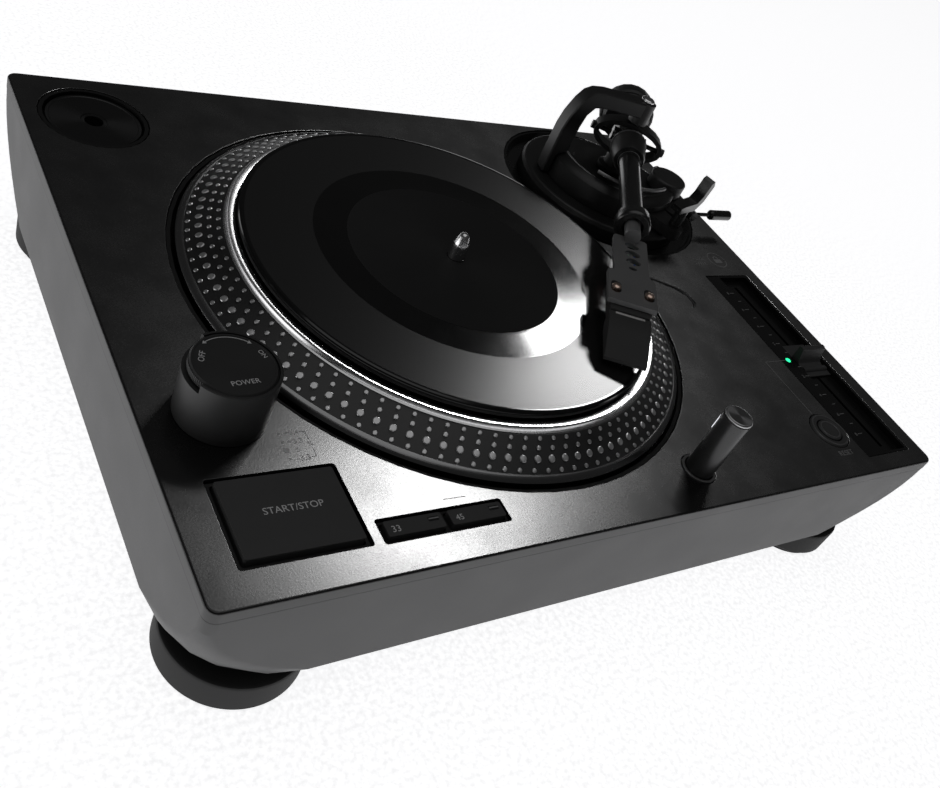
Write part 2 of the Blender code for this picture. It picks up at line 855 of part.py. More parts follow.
def make_button(name, x, y, length, width, rise, finish):
    """A flat key standing a little over the deck, clear of its frame's floor by its travel."""
    low = -FRAME_FLOOR + BUTTON_TRAVEL + GAP
    key = slab(name, length, width, low, rise, 0.0007, finish)
    key.location = (x, y, DECK_TOP)
    return bevel(key, 0.0003)


def make_frame(name, x, y, length, width, margin, windows):
    """The recessed frame round a set of keys, with a floor under them."""
    outer_length = length + 2 * (margin - GAP)
    outer_width = width + 2 * (margin - GAP)
    holes = [rounded(w_length, w_width, 0.0008, 3, w_x, 0.0) for w_x, w_length, w_width in windows]
    rim = slab(name, outer_length, outer_width, -FRAME_FLOOR - 0.0001, -FRAME_SINK, 0.0007,
               DARK_PLASTIC, holes=holes)
    floor = slab(f"{name}_floor", outer_length, outer_width, -FRAME_FLOOR - 0.0033, -FRAME_FLOOR,
                 0.0007)
    rim = join(rim, floor)
    rim.location = (x, y, DECK_TOP)
    return rim


def make_keys():
    """The start and stop key, the two speed keys and their frames."""
    make_button("start_stop_button", START_X, START_Y, START_LENGTH, START_WIDTH, START_RISE,
                GREY_PLASTIC)
    side = 2 * SLIDE_GAP
    make_frame(
        "start_stop_frame", START_X, START_Y, START_LENGTH, START_WIDTH, START_RECESS_MARGIN,
        [(0.0, START_LENGTH + side, START_WIDTH + side)],
    )
    for number, side_x in ((33, -1), (45, 1)):
        make_button(f"speed_button_{number}", SPEED_X + side_x * SPEED_SPACING / 2, SPEED_Y,
                    SPEED_LENGTH, SPEED_WIDTH, SPEED_RISE, GREY_PLASTIC)
    make_frame(
        "speed_button_frame", SPEED_X, SPEED_Y, SPEED_LENGTH + SPEED_SPACING, SPEED_WIDTH,
        SPEED_RECESS_MARGIN,
        [(side_x * SPEED_SPACING / 2, SPEED_LENGTH + side, SPEED_WIDTH + side) for side_x in (-1, 1)],
    )


def make_reset():
    """The round reset key in its ring."""
    inner = RESET_BUTTON_RADIUS + SLIDE_GAP
    socket = turned(
        "reset_ring",
        [
            (inner, 0.0003),
            (inner + 0.0006, 0.0006),
            (RESET_RING_RADIUS - 0.0006, 0.0006),
            (RESET_RING_RADIUS, 0.0),
            (RESET_RING_RADIUS, -0.0080),
            (0, -0.0080),
            (0, -0.0050),
            (inner, -0.0050),
        ],
        DARK_PLASTIC, 24,
    )
    socket.location = (RESET_X, RESET_Y, DECK_TOP)
    key = turned(
        "reset_button",
        [
            (0, 0.0009),
            (RESET_BUTTON_RADIUS - 0.0004, 0.0009),
            (RESET_BUTTON_RADIUS, 0.0005),
            (RESET_BUTTON_RADIUS, -0.0036),
            (0, -0.0036),
        ],
        GREY_PLASTIC, 24,
    )
    key.location = (RESET_X, RESET_Y, DECK_TOP)


def make_target_lamp():
    """The pop-up needle lamp in its sleeve."""
    bore = TARGET_RADIUS + SLIDE_GAP
    stroke = TARGET_HEIGHT
    sleeve = turned(
        "target_lamp_sleeve",
        [
            (bore, 0.0006),
            (TARGET_SLEEVE_RADIUS, 0.0006),
            (TARGET_SLEEVE_RADIUS, -stroke - TARGET_HIDDEN - 0.0025),
            (0, -stroke - TARGET_HIDDEN - 0.0025),
            (0, -stroke - TARGET_HIDDEN - 0.0010),
            (bore, -stroke - TARGET_HIDDEN - 0.0010),
        ],
        DARK_PLASTIC, SMALL_ROUND,
    )
    sleeve.location = (TARGET_X, TARGET_Y, DECK_TOP)
    lamp = turned(
        "target_lamp",
        [
            (0, TARGET_HEIGHT),
            (TARGET_RADIUS - 0.0003, TARGET_HEIGHT),
            (TARGET_RADIUS, TARGET_HEIGHT - 0.0003),
            (TARGET_RADIUS, -TARGET_HIDDEN),
            (0, -TARGET_HIDDEN),
        ],
        SATIN, SMALL_ROUND,
    )
    lamp.location = (TARGET_X, TARGET_Y, DECK_TOP)
    flat = math.atan2(SPINDLE_Y - TARGET_Y, SPINDLE_X - TARGET_X)
    notch = block("notch", (TARGET_RADIUS - 0.0016, -0.0030, TARGET_HEIGHT - 0.0110),
                  (TARGET_RADIUS + 0.0030, 0.0030, TARGET_HEIGHT - 0.0025), None, CUTTERS)
    place(notch, (TARGET_X, TARGET_Y, DECK_TOP), flat)
    cut(lamp, notch)


def make_fader():
    """The pitch fader: its panel with the trough and slot, the potentiometer and the cap."""
    at = (FADER_X, FADER_Y, DECK_TOP)
    panel = slab("fader_panel", FADER_WIDTH - 2 * GAP, FADER_LENGTH - 2 * GAP,
                 -TROUGH_DEPTH - 0.0018, -0.0002, 0.0006, DARK_PLASTIC)
    trough = slab("trough", TROUGH_WIDTH, TROUGH_LENGTH, -TROUGH_DEPTH, 0.01, 0.0006, None,
                  TROUGH_OFFSET, 0.0, group=CUTTERS)
    slot = slab("slot", SLOT_WIDTH, SLOT_LENGTH, -0.02, 0.01, 0.0004, None, TROUGH_OFFSET, 0.0,
                group=CUTTERS)
    lamp_seat = cylinder("lamp_seat", LED_RADIUS + GAP, -0.02, 0.01, None, 16, LED_X - FADER_X,
                         LED_Y - FADER_Y, CUTTERS)
    panel = cut(panel, trough, slot, lamp_seat)
    panel.location = at

    lamp = turned("pitch_lamp", [(0, 0.0), (LED_RADIUS * 0.7, -0.0001), (LED_RADIUS, -0.0005),
                                 (LED_RADIUS, -0.0060), (0, -0.0060)], GREEN, 16)
    lamp.location = (LED_X, LED_Y, DECK_TOP)

    under = -TROUGH_DEPTH - 0.0018 - GAP
    track = block("fader_track", (TROUGH_OFFSET - 0.007, -SLOT_LENGTH / 2 - 0.004, under - 0.009),
                  (TROUGH_OFFSET + 0.007, SLOT_LENGTH / 2 + 0.004, under), SATIN)
    groove = block("groove", (TROUGH_OFFSET - 0.0020, -SLOT_LENGTH / 2, under - 0.0065),
                   (TROUGH_OFFSET + 0.0020, SLOT_LENGTH / 2, under + 0.01), None, CUTTERS)
    track = cut(track, groove)
    track.location = at

    stem = SLOT_WIDTH / 2 - GAP
    low = -TROUGH_DEPTH + GAP
    half = TROUGH_WIDTH / 2 - SLIDE_GAP
    cap = block("fader_cap", (TROUGH_OFFSET - half, -CAP_PLATE_FRONT, low),
                (TROUGH_OFFSET + half, CAP_PLATE_BACK, low + 0.0009), GREY_PLASTIC)
    post = block("fader_stem", (TROUGH_OFFSET - stem, -0.0035, under - 0.0055),
                 (TROUGH_OFFSET + stem, 0.0035, low + 0.0005))
    grip = make_grip(low + 0.0005)
    cap = join(cap, post, grip)
    cap.location = (FADER_X, FADER_Y + CAP_OFFSET, DECK_TOP)


def make_grip(low):
    """The finger scoop: a tall rear fin and a low front lip with a hollow between them."""
    rear = CAP_LENGTH / 2
    profile = [
        (rear, low),
        (rear, CAP_TOP - 0.0008),
        (rear - 0.0006, CAP_TOP),
        (rear - 0.0022, CAP_TOP),
        (rear - 0.0030, CAP_TOP - 0.0009),
        (rear - 0.0036, 0.0020),
        (rear - 0.0052, -0.0008),
        (-rear + 0.0032, -0.0014),
        (-rear + 0.0026, -0.0004),
        (-rear + 0.0008, -0.0002),
        (-rear, -0.0010),
        (-rear, low),
    ]

    grip = extruded("grip", profile, CAP_WIDTH / 2, None)
    grip.data.transform(Matrix.Rotation(math.pi / 2, 4, "Z"))
    grip.data.transform(Matrix.Translation((TROUGH_OFFSET, 0, 0)))
    return grip


def make_inside():
    """The control board and the power supply."""
    floor = BODY_BOTTOM + BODY_FLOOR
    board_low = floor + 0.0040
    board = block("control_board", (0.100, -0.100, board_low), (0.155, -0.010, board_low + 0.0016), BOARD)
    heat = block("regulator", (0.108, -0.092, board_low + 0.001), (0.128, -0.078, board_low + 0.010))
    chip = block("chip", (0.118, -0.050, board_low + 0.001), (0.134, -0.034, board_low + 0.004))
    join(board, heat, chip)
    supply_low = floor + 0.0022
    supply = block("power_supply", (-0.160, 0.070, supply_low), (-0.105, 0.098, supply_low + 0.012),
                   GREY_PLASTIC)
    bevel(supply, 0.0008)


def polar(radius, angle):
    """A point at that radius and angle from the arm's pivot."""
    return (radius * math.cos(angle), radius * math.sin(angle))


def make_arm_base():
    """The fixed dish, the knurled height ring and the base that rises with the tonearm."""
    at = (PIVOT_X, PIVOT_Y, DECK_TOP)
    edge = ARM_OPENING_RADIUS - GAP
    bore = BASE_STEM_RADIUS + SLIDE_GAP
    dish = turned(
        "arm_base_dish",
        [
            (edge, -0.0005),
            (edge, -DECK_THICK),
            (edge - 0.0042, -DECK_THICK),
            (edge - 0.0042, -DISH_DEPTH - 0.0060),
            (bore, -DISH_DEPTH - 0.0060),
            (bore, -DISH_DEPTH),
            (edge - 0.0030, -DISH_DEPTH),
            (edge - 0.0012, -0.0005),
        ],
        DARK_PLASTIC, ROUND,
    )
    dish.location = at
    well = cylinder("dish_well", WELL_RADIUS, DECK_UNDER - 0.02, DECK_TOP + 0.02, None, WIDE_ROUND,
                    SPINDLE_X, SPINDLE_Y, CUTTERS)
    cut(dish, well)

    outer = HEIGHT_RING_RADIUS
    inner = BASE_RADIUS + SLIDE_GAP
    height_ring = turned(
        "height_ring",
        [
            (inner, HEIGHT_RING_TOP),
            (outer - 0.0028, HEIGHT_RING_TOP),
            (outer - 0.0012, HEIGHT_RING_TOP - 0.0006),
            (outer, 0.0022),
            (outer, -DISH_DEPTH + GAP),
            (inner, -DISH_DEPTH + GAP),
        ],
        DARK_PLASTIC, ROUND,
    )
    height_ring.location = at

    lift = empty("arm_height", at)
    wall_bottom = -DISH_DEPTH + 0.0006
    hollow_top = 0.0020
    base = turned(
        "arm_base",
        [
            (0, BASE_FLOOR),
            (BASE_FLOOR_RADIUS, BASE_FLOOR),
            (BASE_FLOOR_RADIUS + 0.0008, BASE_TOP - 0.0006),
            (BASE_FLOOR_RADIUS + 0.0030, BASE_TOP),
            (BASE_RADIUS - 0.0015, BASE_TOP - 0.0012),
            (BASE_RADIUS, BASE_SHOULDER),
            (BASE_RADIUS, wall_bottom),
            (BASE_RADIUS - 0.006, wall_bottom),
            (BASE_RADIUS - 0.006, hollow_top),
            (BASE_STEM_RADIUS, hollow_top),
            (BASE_STEM_RADIUS, -DISH_DEPTH - 0.0130),
            (0, -DISH_DEPTH - 0.0130),
        ],
        DARK_PLASTIC, ROUND,
    )
    base = cut(base, rear_clearance())
    base = join(base, control_shelf(), rest_arm(), cue_ear(), dial_seat())
    pocket = cylinder("dial_pocket", DIAL_RADIUS + 0.0008, BASE_FLOOR + 0.0004, BASE_TOP + 0.01, None,
                      24, *polar(DIAL_REACH, DIAL_ANGLE), CUTTERS)
    base = cut(base, pocket)
    place(base, (0, 0, 0), 0.0, lift)

    make_arch(lift)
    make_arm_controls(lift)
    return lift


def rear_clearance():
    """The sector behind the pivot where the base stays low under the counterweight."""
    reach = BASE_RADIUS + 0.010
    start = math.radians(-2)
    end = math.radians(146)
    points = [(0.0, 0.0), *arc(reach, start, end, 10)]
    sector = outline_plate("sector", [points], REAR_TOP, BASE_TOP + 0.01, None, CUTTERS)
    hub = cylinder("hub", 0.0215, REAR_TOP - 0.001, BASE_TOP + 0.02, None, 24, group=CUTTERS)
    return cut(sector, hub)


def control_shelf():
    """The flat shelf at the front right that carries the anti-skating dial and the lever."""
    points = [
        *arc(BASE_RADIUS + 0.0075, math.radians(-62), math.radians(-8), 10),
        *arc(BASE_RADIUS - 0.004, math.radians(-8), math.radians(-62), 6),
    ]
    return outline_plate("control_shelf", [points], HEIGHT_RING_TOP + 0.0009, BASE_FLOOR - 0.0012)


def dial_seat():
    """The round seat under the anti-skating dial."""
    x, y = polar(DIAL_REACH, DIAL_ANGLE)
    return cylinder("dial_seat", DIAL_RADIUS - 0.0006, HEIGHT_RING_TOP + 0.0030, BASE_FLOOR + 0.0004,
                    None, 28, x, y)


def rest_arm():
    """The bracket that reaches out to the arm rest."""
    x, y = polar(REST_RADIUS, REST_ANGLE)
    points = [
        *arc(0.0055, REST_ANGLE - math.pi / 2, REST_ANGLE + math.pi / 2, 8, x, y),
        *arc(BASE_RADIUS - 0.004, REST_ANGLE + 0.24, REST_ANGLE - 0.24, 4),
    ]
    return outline_plate("rest_bracket", [points], HEIGHT_RING_TOP + 0.0009, BASE_FLOOR - 0.0012)


def cue_ear():
    """The ear that the cue lever turns on."""
    x, y = polar(LEVER_REACH, LEVER_ANGLE)
    low = HEIGHT_RING_TOP + 0.0009
    near = 0.0030 + GAP
    ear = block("cue_ear", (-0.0032, near, low), (0.0032, near + 0.0028, LEVER_RISE + 0.0030))
    arm = block("ear_arm", (-0.0100, near, low), (0.0032, near + 0.0028, low + 0.0028))
    ear = join(ear, arm)
    ear.location = (x, y, 0)
    return ear


def make_arch(lift):
    """The bent bracket from the base's rim over to the top of the vertical bearing."""
    outer = ARCH_RADIUS
    foot = HEIGHT_RING_TOP + 0.0006
    wall = BASE_RADIUS + 0.0005
    beam = ARCH_TOP - ARCH_THICK
    inner = outer - 0.0091
    profile = [
        (outer, foot),
        (outer, 0.0300),
        (outer - 0.0009, 0.0370),
        (outer - 0.0033, ARCH_TOP - 0.0084),
        (outer - 0.0060, ARCH_TOP - 0.0034),
        (outer - 0.0095, ARCH_TOP - 0.0010),
        (outer - 0.0155, ARCH_TOP),
        (0.0, ARCH_TOP),
        (0.0, beam),
        (inner - 0.0074, beam),
        (inner - 0.0034, beam - 0.0009),
        (inner - 0.0008, beam - 0.0055),
        (inner, beam - 0.0125),
        (inner, BASE_TOP + 0.0006),
        (BASE_RADIUS - 0.0013, BASE_TOP - 0.0006),
        (wall, BASE_SHOULDER + 0.0004),
        (wall, foot),
    ]
    arch = extruded("arm_arch", profile, ARCH_WIDTH / 2, DARK_PLASTIC)
    arch = bevel(arch, 0.0006, 1, 60)
    boss = cylinder("arch_boss", BOSS_RADIUS, beam - BOSS_DROP, ARCH_TOP, None, 28)
    arch = join(arch, boss)
    hole = cylinder("arch_hole", 0.0024 + GAP, 0.0, 0.1, None, 20, group=CUTTERS)
    arch = cut(arch, hole)
    place(arch, (0, 0, 0), ARCH_ANGLE, lift)
    tip = YOKE_TOP + GAP
    bolt = turned(
        "pivot_bolt",
        [
            (0, ARCH_TOP + 0.0018),
            (0.0028, ARCH_TOP + 0.0018),
            (0.0036, ARCH_TOP + 0.0012),
            (0.0036, ARCH_TOP + GAP),
            (0.0024, ARCH_TOP + GAP),
            (0.0024, tip + 0.0012),
            (0.0008, tip),
            (0, tip),
        ],
        SILVER, 16,
    )
    place(bolt, (0, 0, 0), 0.0, lift)


def make_arm_controls(lift):
    """The anti-skating dial, the cue lift, its lever and the arm rest."""
    low = BASE_FLOOR + 0.0004 + GAP
    dial = turned(
        "anti_skating_dial",
        [
            (0, DIAL_TOP),
            (DIAL_RADIUS - 0.0008, DIAL_TOP),
            (DIAL_RADIUS, DIAL_TOP - 0.0008),
            (DIAL_RADIUS, low),
            (0, low),
        ],
        GREY_PLASTIC, 24,
    )
    dial.location = (*polar(DIAL_REACH, DIAL_ANGLE), 0)
    dial.parent = lift
    make_cue_lift(lift)
    make_arm_rest(lift)


def make_cue_lift(lift):
    """The damped lift: its barrel, the bow under the arm tube and the hand lever."""
    barrel_at = polar(BOW_RADIUS, CUE_ANGLE)
    seat = BASE_TOP + GAP
    barrel = turned(
        "cue_barrel",
        [
            (0.0014 + GAP, BARREL_TOP),
            (0.0030, BARREL_TOP),
            (0.0034, BARREL_TOP - 0.0004),
            (0.0034, seat + 0.0004),
            (0.0014 + GAP, seat + 0.0004),
        ],
        SATIN, 16,
    )
    place(barrel, (*barrel_at, 0), 0.0, lift)
    bow_points = [(*xy, BOW_HEIGHT)
                  for xy in arc(BOW_RADIUS, math.radians(212), math.radians(292), 12)]
    bow = wire("lift_bow", bow_points, 0.0010, GREY_PLASTIC)
    rod = cylinder("bow_rod", 0.0014, seat + 0.0006, BOW_HEIGHT + 0.0004, None, 12, *barrel_at)
    bow = join(bow, rod)
    bow.parent = lift

    hub_at = (*polar(LEVER_REACH, LEVER_ANGLE), LEVER_RISE)
    hub = turned("cue_lever", [(0, 0.0030), (0.0026, 0.0030), (0.0026, -0.0030), (0, -0.0030)],
                 SATIN, 16, PARTS, "Y")
    shaft = turned("cue_shaft", [(0, 0.0170), (0.0010, 0.0170), (0.0010, 0.0), (0, 0.0)],
                   None, 12, PARTS, "X")
    grip = turned("cue_grip", [(0, 0.0310), (0.0018, 0.0310), (0.0027, 0.0300), (0.0027, 0.0160),
                               (0.0018, 0.0150), (0, 0.0150)], None, 16, PARTS, "X")
    lever = join(hub, shaft, grip)
    place(lever, hub_at, 0.0, lift)


def make_arm_rest(lift):
    """The post with the cradle and the prong that the parked arm leans on."""
    at = (*polar(REST_RADIUS, REST_ANGLE), 0)
    seat = ARM_RISE - TUBE_RADIUS - 0.0012
    low = BASE_FLOOR - 0.0012 + GAP
    post = turned("arm_rest", [(0, seat - 0.0008), (0.0030, seat - 0.0008),
                               (0.0030, low), (0, low)], DARK_PLASTIC, 20)
    reach = TUBE_RADIUS + 0.0022
    points = [
        (-reach - 0.0010, seat - 0.0040),
        (reach - 0.0010, seat - 0.0040),
        (reach + 0.0034, seat + 0.0010),
        (reach + 0.0052, REST_TIP - 0.0030),
        (reach + 0.0030, REST_TIP),
        (reach + 0.0012, REST_TIP - 0.0012),
        (reach, seat + 0.0040),
        (reach - 0.0024, seat + 0.0006),
        (-reach + 0.0020, seat),
        (-reach - 0.0014, seat - 0.0006),
    ]
    fork = extruded("fork", points, 0.0030, None)
    post = join(post, fork)
    place(post, at, REST_ANGLE + math.pi / 2, lift)


def make_arm(lift):
    """The yoke that swings and the arm that tilts in it."""
    yoke_base = empty("arm_swing", (0, 0, 0), ARM_ANGLE, lift)
    outline = oval(0.0, ARM_RISE, YOKE_HALF_WIDTH, YOKE_HALF_HEIGHT, 22)
    opening = oval(0.0, ARM_RISE, YOKE_HALF_WIDTH - YOKE_WALL, YOKE_HALF_HEIGHT - YOKE_WALL, 22)
    yoke = outline_plate("arm_yoke", [outline, opening], -YOKE_WIDTH / 2, YOKE_WIDTH / 2, DARK_PLASTIC)
    yoke.data.transform(Matrix(((0, 0, 1, 0), (1, 0, 0, 0), (0, 1, 0, 0), (0, 0, 0, 1))))
    stub = turned(
        "yoke_stub",
        [
            (0, ARM_RISE - YOKE_HALF_HEIGHT + 0.0012),
            (0.0060, ARM_RISE - YOKE_HALF_HEIGHT + 0.0012),
            (0.0060, BASE_FLOOR + 0.0040),
            (0.0085, BASE_FLOOR + 0.0030),
            (0.0085, BASE_FLOOR + GAP),
            (0, BASE_FLOOR + GAP),
        ],
        None, 20,
    )
    yoke = join(yoke, stub, yoke_pin(1), yoke_pin(-1))
    place(yoke, (0, 0, 0), 0.0, yoke_base)

    tilt = empty("arm_tilt", (0, 0, ARM_RISE), 0.0, yoke_base)
    make_tube(tilt)
    make_counterweight(tilt)
    make_headshell(tilt)


def yoke_pin(side):
    """A pivot pin's adjusting screw on one side of the yoke."""
    outer = YOKE_HALF_WIDTH + 0.0014
    inner = BEARING_RADIUS + 0.0035
    pin = turned("yoke_pin", [(0, outer), (0.0021, outer), (0.0021, outer - 0.0042),
                              (0.0012, outer - 0.0042), (0.0012, inner), (0, inner)],
                 None, 16, PARTS, "Y")
    if side < 0:
        pin.data.transform(Matrix.Rotation(math.pi, 4, "Z"))
    pin.data.transform(Matrix.Translation((0, 0, ARM_RISE)))
    return pin


def make_tube(tilt):
    """The tapered tube with its bearing barrel and rear shaft, and the locking collar."""
    thin = TUBE_RADIUS - 0.0007
    tube = turned(
        "arm_tube",
        [
            (0, TUBE_END),
            (thin, TUBE_END),
            (thin, TUBE_END - 0.0060),
            (TUBE_RADIUS, TUBE_END - 0.0060),
            (TUBE_RADIUS, 0.0275),
            (TUBE_THICK_RADIUS, 0.0262),
            (TUBE_THICK_RADIUS, 0.0110),
            (BEARING_RADIUS, 0.0075),
            (BEARING_RADIUS, -0.0085),
            (TUBE_THICK_RADIUS, -0.0120),
            (TUBE_THICK_RADIUS, -0.0190),
            (TUBE_THICK_RADIUS - 0.0015, -0.0205),
            (SHAFT_RADIUS_REAR, -0.0210),
            (SHAFT_RADIUS_REAR, REAR_END),
            (0, REAR_END),
        ],
        DARK_PLASTIC, 24, PARTS, "X",
    )
    barrel = turned("bearing_barrel", [(0, BEARING_RADIUS + 0.0030), (0.0034, BEARING_RADIUS + 0.0030),
                                       (0.0034, -BEARING_RADIUS - 0.0030),
                                       (0, -BEARING_RADIUS - 0.0030)], None, 20, PARTS, "Y")
    tube = join(tube, barrel)
    place(tube, (0, 0, 0), 0.0, tilt)
    collar = turned(
        "headshell_collar",
        [
            (thin + GAP, TUBE_END + 0.0030),
            (TUBE_RADIUS + 0.0022, TUBE_END + 0.0030),
            (TUBE_RADIUS + 0.0030, TUBE_END + 0.0020),
            (TUBE_RADIUS + 0.0030, TUBE_END - 0.0036),
            (TUBE_RADIUS + 0.0018, TUBE_END - 0.0057),
            (thin + GAP, TUBE_END - 0.0057),
        ],
        GREY_PLASTIC, 24, PARTS, "X",
    )
    place(collar, (0, 0, 0), 0.0, tilt)


def make_counterweight(tilt):
    """The counterweight and its numbered ring, on the arm's rear shaft."""
    bore = SHAFT_RADIUS_REAR + GAP
    weight = turned(
        "counterweight",
        [
            (bore, -WEIGHT_START),
            (WEIGHT_RADIUS - 0.0010, -WEIGHT_START),
            (WEIGHT_RADIUS, -WEIGHT_START - 0.0010),
            (WEIGHT_RADIUS, -WEIGHT_END + 0.0065),
            (WEIGHT_RADIUS - 0.0015, -WEIGHT_END + 0.0028),
            (WEIGHT_RADIUS - 0.0045, -WEIGHT_END + 0.0006),
            (WEIGHT_RADIUS - 0.0075, -WEIGHT_END),
            (bore, -WEIGHT_END),
        ],
        DARK_PLASTIC, 22, PARTS, "X",
    )
    place(weight, (0, 0, 0), 0.0, tilt)
    dial = turned(
        "stylus_force_ring",
        [
            (bore, -WEIGHT_START + GAP + 0.0026),
            (WEIGHT_RADIUS - 0.0032, -WEIGHT_START + GAP + 0.0026),
            (WEIGHT_RADIUS - 0.0015, -WEIGHT_START + GAP),
            (bore, -WEIGHT_START + GAP),
        ],
        GREY_PLASTIC, 22, PARTS, "X",
    )
    place(dial, (0, 0, 0), 0.0, tilt)


def make_headshell(tilt):
    """The headshell plate, its screws and finger lift, the cartridge and the stylus."""
    roll = empty("headshell_roll", (0, 0, 0), 0.0, tilt)
    roll.rotation_euler = (SHELL_ROLL, 0, 0)
    half = SHELL_WIDTH / 2
    wide = SHELL_FRONT_WIDTH / 2
    step = 0.0015
    top = -SHELL_DROP
    shape = [
        (SHELL_BACK, -half + 0.0010),
        (SHELL_BACK + 0.0010, -half),
        (SHELL_STEP - step, -half),
        (SHELL_STEP, -wide),
        (SHELL_FRONT, -wide),
        (SHELL_FRONT, wide),
        (SHELL_STEP + step, wide),
        (SHELL_STEP - step, half),
        (SHELL_BACK + 0.0010, half),
        (SHELL_BACK, half - 0.0010),
    ]
    holes = [oval(SHELL_BACK + 0.0070 + k * 0.0066, 0.0006 + k * 0.0002, 0.0026, 0.0034) for k in range(3)]
    holes.append(oval(SHELL_BACK + 0.0258, 0.0006, 0.0012, 0.0019))
    slots = [slot_outline(SCREW_REACH, side * SCREW_SPACING / 2, 0.0086, 0.0044) for side in (-1, 1)]
    plate = outline_plate("headshell", [shape, *holes, *slots], top - SHELL_THICK, top, SATIN)
    connector = turned("shell_plug", [(0, SHELL_BACK + 0.0040), (PLUG_RADIUS, SHELL_BACK + 0.0040),
                                      (PLUG_RADIUS, TUBE_END + GAP), (0, TUBE_END + GAP)],
                       None, 20, PARTS, "X")
    plate = join(plate, connector)
    place(plate, (0, 0, 0), 0.0, roll)

    finger_points = [
        (SHELL_STEP - 0.0040, half + GAP + 0.0007, top - 0.0012),
        (SHELL_STEP - 0.0040, half + 0.0050, top - 0.0014),
        (SHELL_STEP - 0.0030, half + 0.0120, top - 0.0014),
        (SHELL_STEP - 0.0010, half + 0.0180, top - 0.0020),
        (SHELL_STEP + 0.0006, half + 0.0215, top - 0.0036),
        (SHELL_STEP + 0.0010, half + 0.0222, top - 0.0056),
    ]
    place(wire("finger_lift", finger_points, 0.0007, DARK_PLASTIC), (0, 0, 0), 0.0, roll)

    cartridge_top = top - SHELL_THICK - GAP
    for side, name in ((-1, "left"), (1, "right")):
        screw = turned(
            f"cartridge_screw_{name}",
            [
                (0, top + 0.0016),
                (0.0016, top + 0.0014),
                (0.0020, top + 0.0008),
                (0.0020, top - SHELL_THICK + 0.0002),
                (0, top - SHELL_THICK + 0.0002),
            ],
            GOLD, 16,
        )
        place(screw, (SCREW_REACH + 0.0008, side * SCREW_SPACING / 2, 0), 0.0, roll)

    drop = ARM_RISE - RECORD_TOP
    body_low = -drop + 0.0050
    body = block("cartridge_body", (SHELL_FRONT - 0.0190, -0.0083, body_low),
                 (SHELL_FRONT + 0.0030, 0.0083, cartridge_top), DARK_PLASTIC)
    wing = block("cartridge_wing", (SHELL_FRONT - 0.0160, -0.0098, cartridge_top - 0.0030),
                 (SHELL_FRONT - 0.0020, 0.0098, cartridge_top))
    body = join(body, wing)
    body.name = "cartridge"
    place(body, (0, 0, 0), 0.0, roll)

    nose = SHELL_FRONT + 0.0030 + GAP
    guard_front = STYLUS_REACH + 0.0015
    guard_low = body_low - 0.0018
    profile = [
        (nose, body_low + 0.0062),
        (nose, body_low),
        (nose + 0.0046, guard_low),
        (guard_front, guard_low),
        (guard_front, guard_low + 0.0016),
        (nose + 0.0100, body_low + 0.0050),
        (nose + 0.0050, body_low + 0.0062),
    ]
    stylus = extruded("stylus", profile, 0.0088, WHITE)
    tip = -drop + STYLUS_CLEAR
    needle = turned("needle", [(0, guard_low + 0.0006), (0.0008, guard_low + 0.0006), (0.0002, tip),
                               (0, tip)], None, 12)
    needle.location = (STYLUS_REACH - 0.0015, 0, 0)
    bpy.context.view_layer.update()
    stylus = join(stylus, needle)
    place(stylus, (0, 0, 0), 0.0, roll)


def oval(x, y, half_x, half_y, steps=20):
    """An ellipse's outline."""
    turn = 2 * math.pi / steps
    return [(x + half_x * math.cos(k * turn), y + half_y * math.sin(k * turn)) for k in range(steps)]


def slot_outline(x, y, length, width):
    """A round-ended slot along the shell."""
    return rounded(length, width, width / 2 - 0.00005, 4, x, y)


def main():
    """Build every piece."""
    clear_scene()
    make_plinth()
    make_rear_jacks()
    make_drive()
    make_adapter()
    make_power_lamp()
    make_keys()
    make_reset()
    make_target_lamp()
    make_fader()
    make_inside()
    lift = make_arm_base()
    make_arm(lift)
    finish_rounds()


main()
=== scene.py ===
"""Finished looks of a compact direct-drive record player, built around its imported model."""

import json
import logging
import math
from dataclasses import dataclass
from enum import Enum

import bmesh
import bpy
import numpy as np
from mathutils import Matrix, Quaternion, Vector

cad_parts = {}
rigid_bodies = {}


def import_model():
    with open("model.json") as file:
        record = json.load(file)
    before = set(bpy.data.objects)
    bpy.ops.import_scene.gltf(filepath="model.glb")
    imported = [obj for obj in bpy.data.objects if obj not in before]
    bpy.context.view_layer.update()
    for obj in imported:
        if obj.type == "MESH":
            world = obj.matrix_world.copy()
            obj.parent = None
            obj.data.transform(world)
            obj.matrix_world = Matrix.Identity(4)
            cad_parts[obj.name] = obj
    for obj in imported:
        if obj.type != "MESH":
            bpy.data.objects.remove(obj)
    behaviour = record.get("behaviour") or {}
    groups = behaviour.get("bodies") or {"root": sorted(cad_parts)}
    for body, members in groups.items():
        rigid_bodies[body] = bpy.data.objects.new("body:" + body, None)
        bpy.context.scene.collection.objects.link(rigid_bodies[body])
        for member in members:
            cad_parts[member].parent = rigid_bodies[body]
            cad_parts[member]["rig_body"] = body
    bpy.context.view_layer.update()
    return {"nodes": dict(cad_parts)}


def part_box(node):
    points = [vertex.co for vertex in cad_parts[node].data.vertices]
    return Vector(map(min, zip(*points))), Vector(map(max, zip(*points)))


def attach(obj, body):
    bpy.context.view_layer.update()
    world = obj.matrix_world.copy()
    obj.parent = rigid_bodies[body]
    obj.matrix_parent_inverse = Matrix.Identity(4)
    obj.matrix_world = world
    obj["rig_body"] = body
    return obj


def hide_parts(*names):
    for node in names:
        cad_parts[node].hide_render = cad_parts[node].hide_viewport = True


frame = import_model()

Socket = bpy.types.NodeSocket
Mesh = bpy.types.Mesh
Pair = tuple[float, float]
Triple = tuple[float, float, float]

LOG = logging.getLogger("record_player")
TAU = 2.0 * math.pi
MM = 0.001
INK_LOW = 0.00005
INK_HIGH = 0.00006

